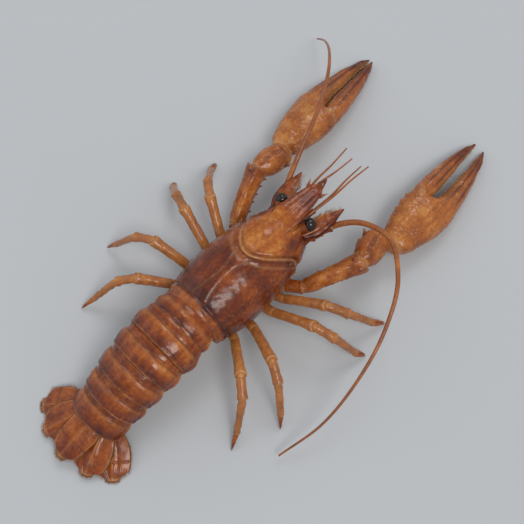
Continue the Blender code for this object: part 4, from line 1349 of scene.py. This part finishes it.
def whip(points, thick, thin, ring=0.7, sides=10):
    """A feeler's lash: many short rings, thinning to its tip."""
    points = np.array(points)
    at = np.concatenate(([0.0], np.cumsum(np.linalg.norm(np.diff(points, axis=0), axis=1))))
    where = np.arange(0, at[-1], ring / 4)
    line = flow(points, at, where)
    share = where / at[-1]
    beat = np.cos(where * 2 * math.pi / ring)
    radius = (thick + (thin - thick) * share**0.8) * (1 + 0.03 * beat)
    ahead = unit(np.gradient(line, axis=0))
    across = unit(np.cross(ahead, (0.12, 0.05, 1.0)))
    other = np.cross(across, ahead)
    u, v = (part[:, None] for part in round_ring(sides))
    form = wrap(line[:, None] + radius[:, None, None] * (across[:, None] * u + other[:, None] * v))
    tone = 0.4 - 0.03 * beat + 0.08 * share + 0.1 * waves(line, 9.0, 125)
    form.tone = np.concatenate((np.repeat(tone, sides), (0.4, 0.4)))
    form.pale[:] = 0.12
    form.dark_and_shade = np.concatenate((np.repeat(0.06 * (beat < -0.5), sides), (0, 0)))
    return form


def antenna(side_name, hand):
    """The long feeler on its three-jointed root."""
    places = ((4.8, 43.2, 17.4), (7.7, 47.8, 17.9), (8.8, 50.4, 18.5), (10.5, 53.6, 19.5))
    a, b, c, d = mirrored(hand, places)
    parts = [
        article(a, b, (2.0, 2.0), (2.25, 2.2), tone=0.45),
        article(b, c, (1.9, 1.8), (2.0, 1.9), tone=0.5),
        article(c, d, (1.5, 1.5), (1.65, 1.6), tone=0.55, rows=50),
    ]
    for form in parts:
        form.swell(0.08 * form.waves(2.0, 130))
    parts += [joint_ball(place, radius) for place, radius in ((b, 1.75), (c, 1.5), (d, 1.25))]
    parts.append(thorn(b - (hand * -1.2, 0, 0.4), (hand * 0.8, -0.8, -0.1), 1.4, 0.7))
    route = [d - (d - c) * 0.25, *mirrored(hand, WHIP_ROUTES[side_name])]
    parts.append(whip(route, WHIP_RADIUS * 1.12, WHIP_RADIUS * 0.34))
    return gather(parts)


def antennule(hand):
    """The short inner feeler, forked into two lashes."""
    a, b, c = mirrored(hand, ((2.0, 44.2, 20.6), (2.4, 48.8, 21.2), (2.95, 53.2, 21.7)))
    parts = [
        article(a, b, (1.25, 1.25), (1.35, 1.3), tone=0.5),
        article(b, c, (1.1, 1.1), (1.0, 1.0), tone=0.55),
        joint_ball(b, 1.05),
    ]
    for drift, lift in ((2.2, 1.6), (-0.8, -2.2)):
        root, tip = mirrored(hand, ((2.9, 53.0, 21.7), (2.9 + drift, 78.0, 21.7 + lift)))
        near = root * 0.66 + tip * 0.34 + (hand * 0.5, 0, 0.5)
        far = root * 0.33 + tip * 0.67 + (0, 0, 0.3)
        parts.append(whip([root, near, far, tip], 0.6, 0.24, ring=0.6, sides=8))
    return gather(parts)


def antenna_scale(hand):
    """The flat blade over the long feeler's root, drawn out to a point and fringed along its inner edge."""
    outline = (  # ahead, aside, up, half width, half thickness
        (43.5, 6.3, 21.6, 1.6, 0.6), (48.0, 7.6, 21.9, 2.8, 0.55), (53.0, 8.4, 22.2, 2.6, 0.5),
        (57.5, 9.2, 22.4, 1.2, 0.36), (60.4, 9.8, 22.4, 0.22, 0.2),
    )
    forward = np.linspace(43.5, 60.4, 70)
    middle, up, half_width, thick = columns(outline, forward)[:, :, None]
    u = np.linspace(-1, 1, 41)[None]
    side = hand * (middle + half_width * u)
    slim = thick * (1 - 0.5 * ease(-u, -0.2, 1.0)) * (1 - 0.3 * u**2)
    edge = 0.3 * bell(u - 0.72, 0.16) * ease(half_width, 0.3, 1.0)
    outer = grid(side, -forward[:, None], up + slim + edge)
    inner = grid(side, -forward[:, None], up - slim)
    ripple = waves(outer, 3.0, 140)
    relief = 0.05 * ripple - 0.18 * bell(u - 0.4, 0.12)
    tone = 0.48 + 0.2 * ease(u, 0.4, 0.9) + 0.1 * ripple
    form = plate(outer, inner, relief, tone, 0.35 * ease(-u, 0.4, 1.0))
    random = np.random.default_rng(141)
    picked = random.choice(np.flatnonzero((forward > 49) & (forward < 59.5)), 110)
    roots = (outer[picked, 0] + inner[picked, 0]) / 2 + random.normal(scale=0.06, size=(110, 3))
    return gather([form, hairs(roots, (-hand * 0.6, -1.0, 0.0), 1.5, radius=0.05, seed=142)])


def jaw_leg(hand):
    """The leg-like mouthpart folded forward under the head, bristled along its inner side."""
    joints = mirrored(hand, (  # places, half width, half depth
        (3.4, 34.0, 5.9, 1.6, 1.5), (3.8, 38.2, 5.2, 1.95, 1.8), (4.2, 42.8, 7.4, 1.9, 1.7),
        (4.0, 46.2, 10.6, 1.5, 1.4), (3.4, 50.0, 11.7, 1.3, 1.2), (2.7, 53.8, 10.3, 0.5, 0.5),
    ))
    parts = []
    for k, (near, far) in enumerate(zip(joints, joints[1:])):
        look = {"rows": 34, "neck": 0.88, "flare": 0.6 if k == 4 else 0.98, "tone": 0.42, "rim": 0.2}
        joint = article(near[:3], far[:3], near[3:], far[3:], **look)
        joint.swell(0.08 * joint.waves(2.0, 150 + k))
        parts += [joint, bristled(joint, (0.1, 0.95), 1.7, 90, 151 + k, facing=(-hand * 0.8, -0.3, -0.4))]
        if k:
            parts.append(joint_ball(near[:3], min(near[3:]) * 0.85))
    return gather(parts)


def dress_side(side_name, hand):
    """The eye, claw, legs, feelers and mouthpart of one side."""
    publish(f"eye_stalk_{side_name}", eye_stalk(hand), "limb", f"eye_{side_name}")
    publish(f"eye_ball_{side_name}", eye_ball(hand), "eye", f"eye_{side_name}")
    dress_claw(side_name, hand)
    for number, (joints, shift) in enumerate(zip(LEG_JOINTS, LEG_SHIFTS[side_name]), start=1):
        name = f"leg_{side_name}_{number}"
        publish(f"walking_{name}", walking_leg(hand, number, shifted_leg(joints, *shift)), "limb", name)
    for name, form, node in (
        ("long_feeler", antenna(side_name, hand), "antenna"),
        ("short_feeler", antennule(hand), "antennule"),
        ("feeler_blade", antenna_scale(hand), "antenna_scale"),
        ("jaw_joints", jaw_leg(hand), "jaw_leg"),
    ):
        publish(f"{name}_{side_name}", form, "limb", f"{node}_{side_name}")


# Floor, light and camera


def place_thing(name, data, place, toward=None):
    """Puts something into the scene, and turns it to look along a direction."""
    thing = bpy.data.objects.new(name, data)
    thing.location = place
    if toward is not None:
        thing.rotation_mode = "QUATERNION"
        thing.rotation_quaternion = toward.to_track_quat("-Z", "Y")
    bpy.context.scene.collection.objects.link(thing)
    return thing


def make_floor():
    """The floor, a few metres wide."""
    mesh = bpy.data.meshes.new("floor")
    reach = 3.0
    corners = ((-reach, -reach, 0), (reach, -reach, 0), (reach, reach, 0), (-reach, reach, 0))
    mesh.from_pydata(corners, [], [(0, 1, 2, 3)])
    mesh.materials.append(floor_material())
    place_thing("floor", mesh, (0, 0, 0))


def make_light(name, place, spread, strength, colour):
    """A soft, far lamp that shines from its place onto the middle, as wide as its spread in degrees."""
    lamp = bpy.data.lights.new(name, "SUN")
    lamp.angle = math.radians(spread)
    lamp.energy = strength
    lamp.color = colour
    place_thing(name, lamp, place, -Vector(place))


def make_camera(azimuth, elevation, distance, lens, aim):
    """A camera that looks at its aim from that direction, in degrees."""
    turn, lift = math.radians(azimuth), math.radians(elevation)
    back = Vector((math.sin(turn) * math.cos(lift), -math.cos(turn) * math.cos(lift), math.sin(lift)))
    data = bpy.data.cameras.new("camera")
    data.lens = lens
    data.clip_start = 0.01
    bpy.context.scene.camera = place_thing("camera", data, Vector(aim) + back * distance, -back)


def make_world(colour, strength):
    """Even light from all around."""
    world = bpy.data.worlds.new("studio")
    world.use_nodes = True
    background = world.node_tree.nodes["Background"]
    background.inputs["Color"].default_value = (*colour, 1.0)
    background.inputs["Strength"].default_value = strength
    bpy.context.scene.world = world


publish("carapace_shell", carapace(), "shell", "carapace")
publish("sternum_plates", sternum(), "limb", "sternum")
dress_tail()
for side_name, hand in SIDES:
    dress_side(side_name, hand)

make_floor()
make_world(colour=(0.935, 0.968, 1.0), strength=0.505)
make_light("key", (-0.9, 0.2, 1.5), spread=26.0, strength=1.17, colour=(1.0, 0.97, 0.93))
make_light("fill", (1.2, 0.8, 0.9), spread=60.0, strength=0.3, colour=(0.92, 0.96, 1.0))
make_light("rim", (0.3, -0.66, 1.0), spread=24.0, strength=0.48, colour=(1.0, 1.0, 1.0))
make_camera(azimuth=225.0, elevation=68.0, distance=0.3, lens=60.0, aim=(0.0, 0.0, 0.01))
bpy.context.scene.view_settings.view_transform = "Standard"
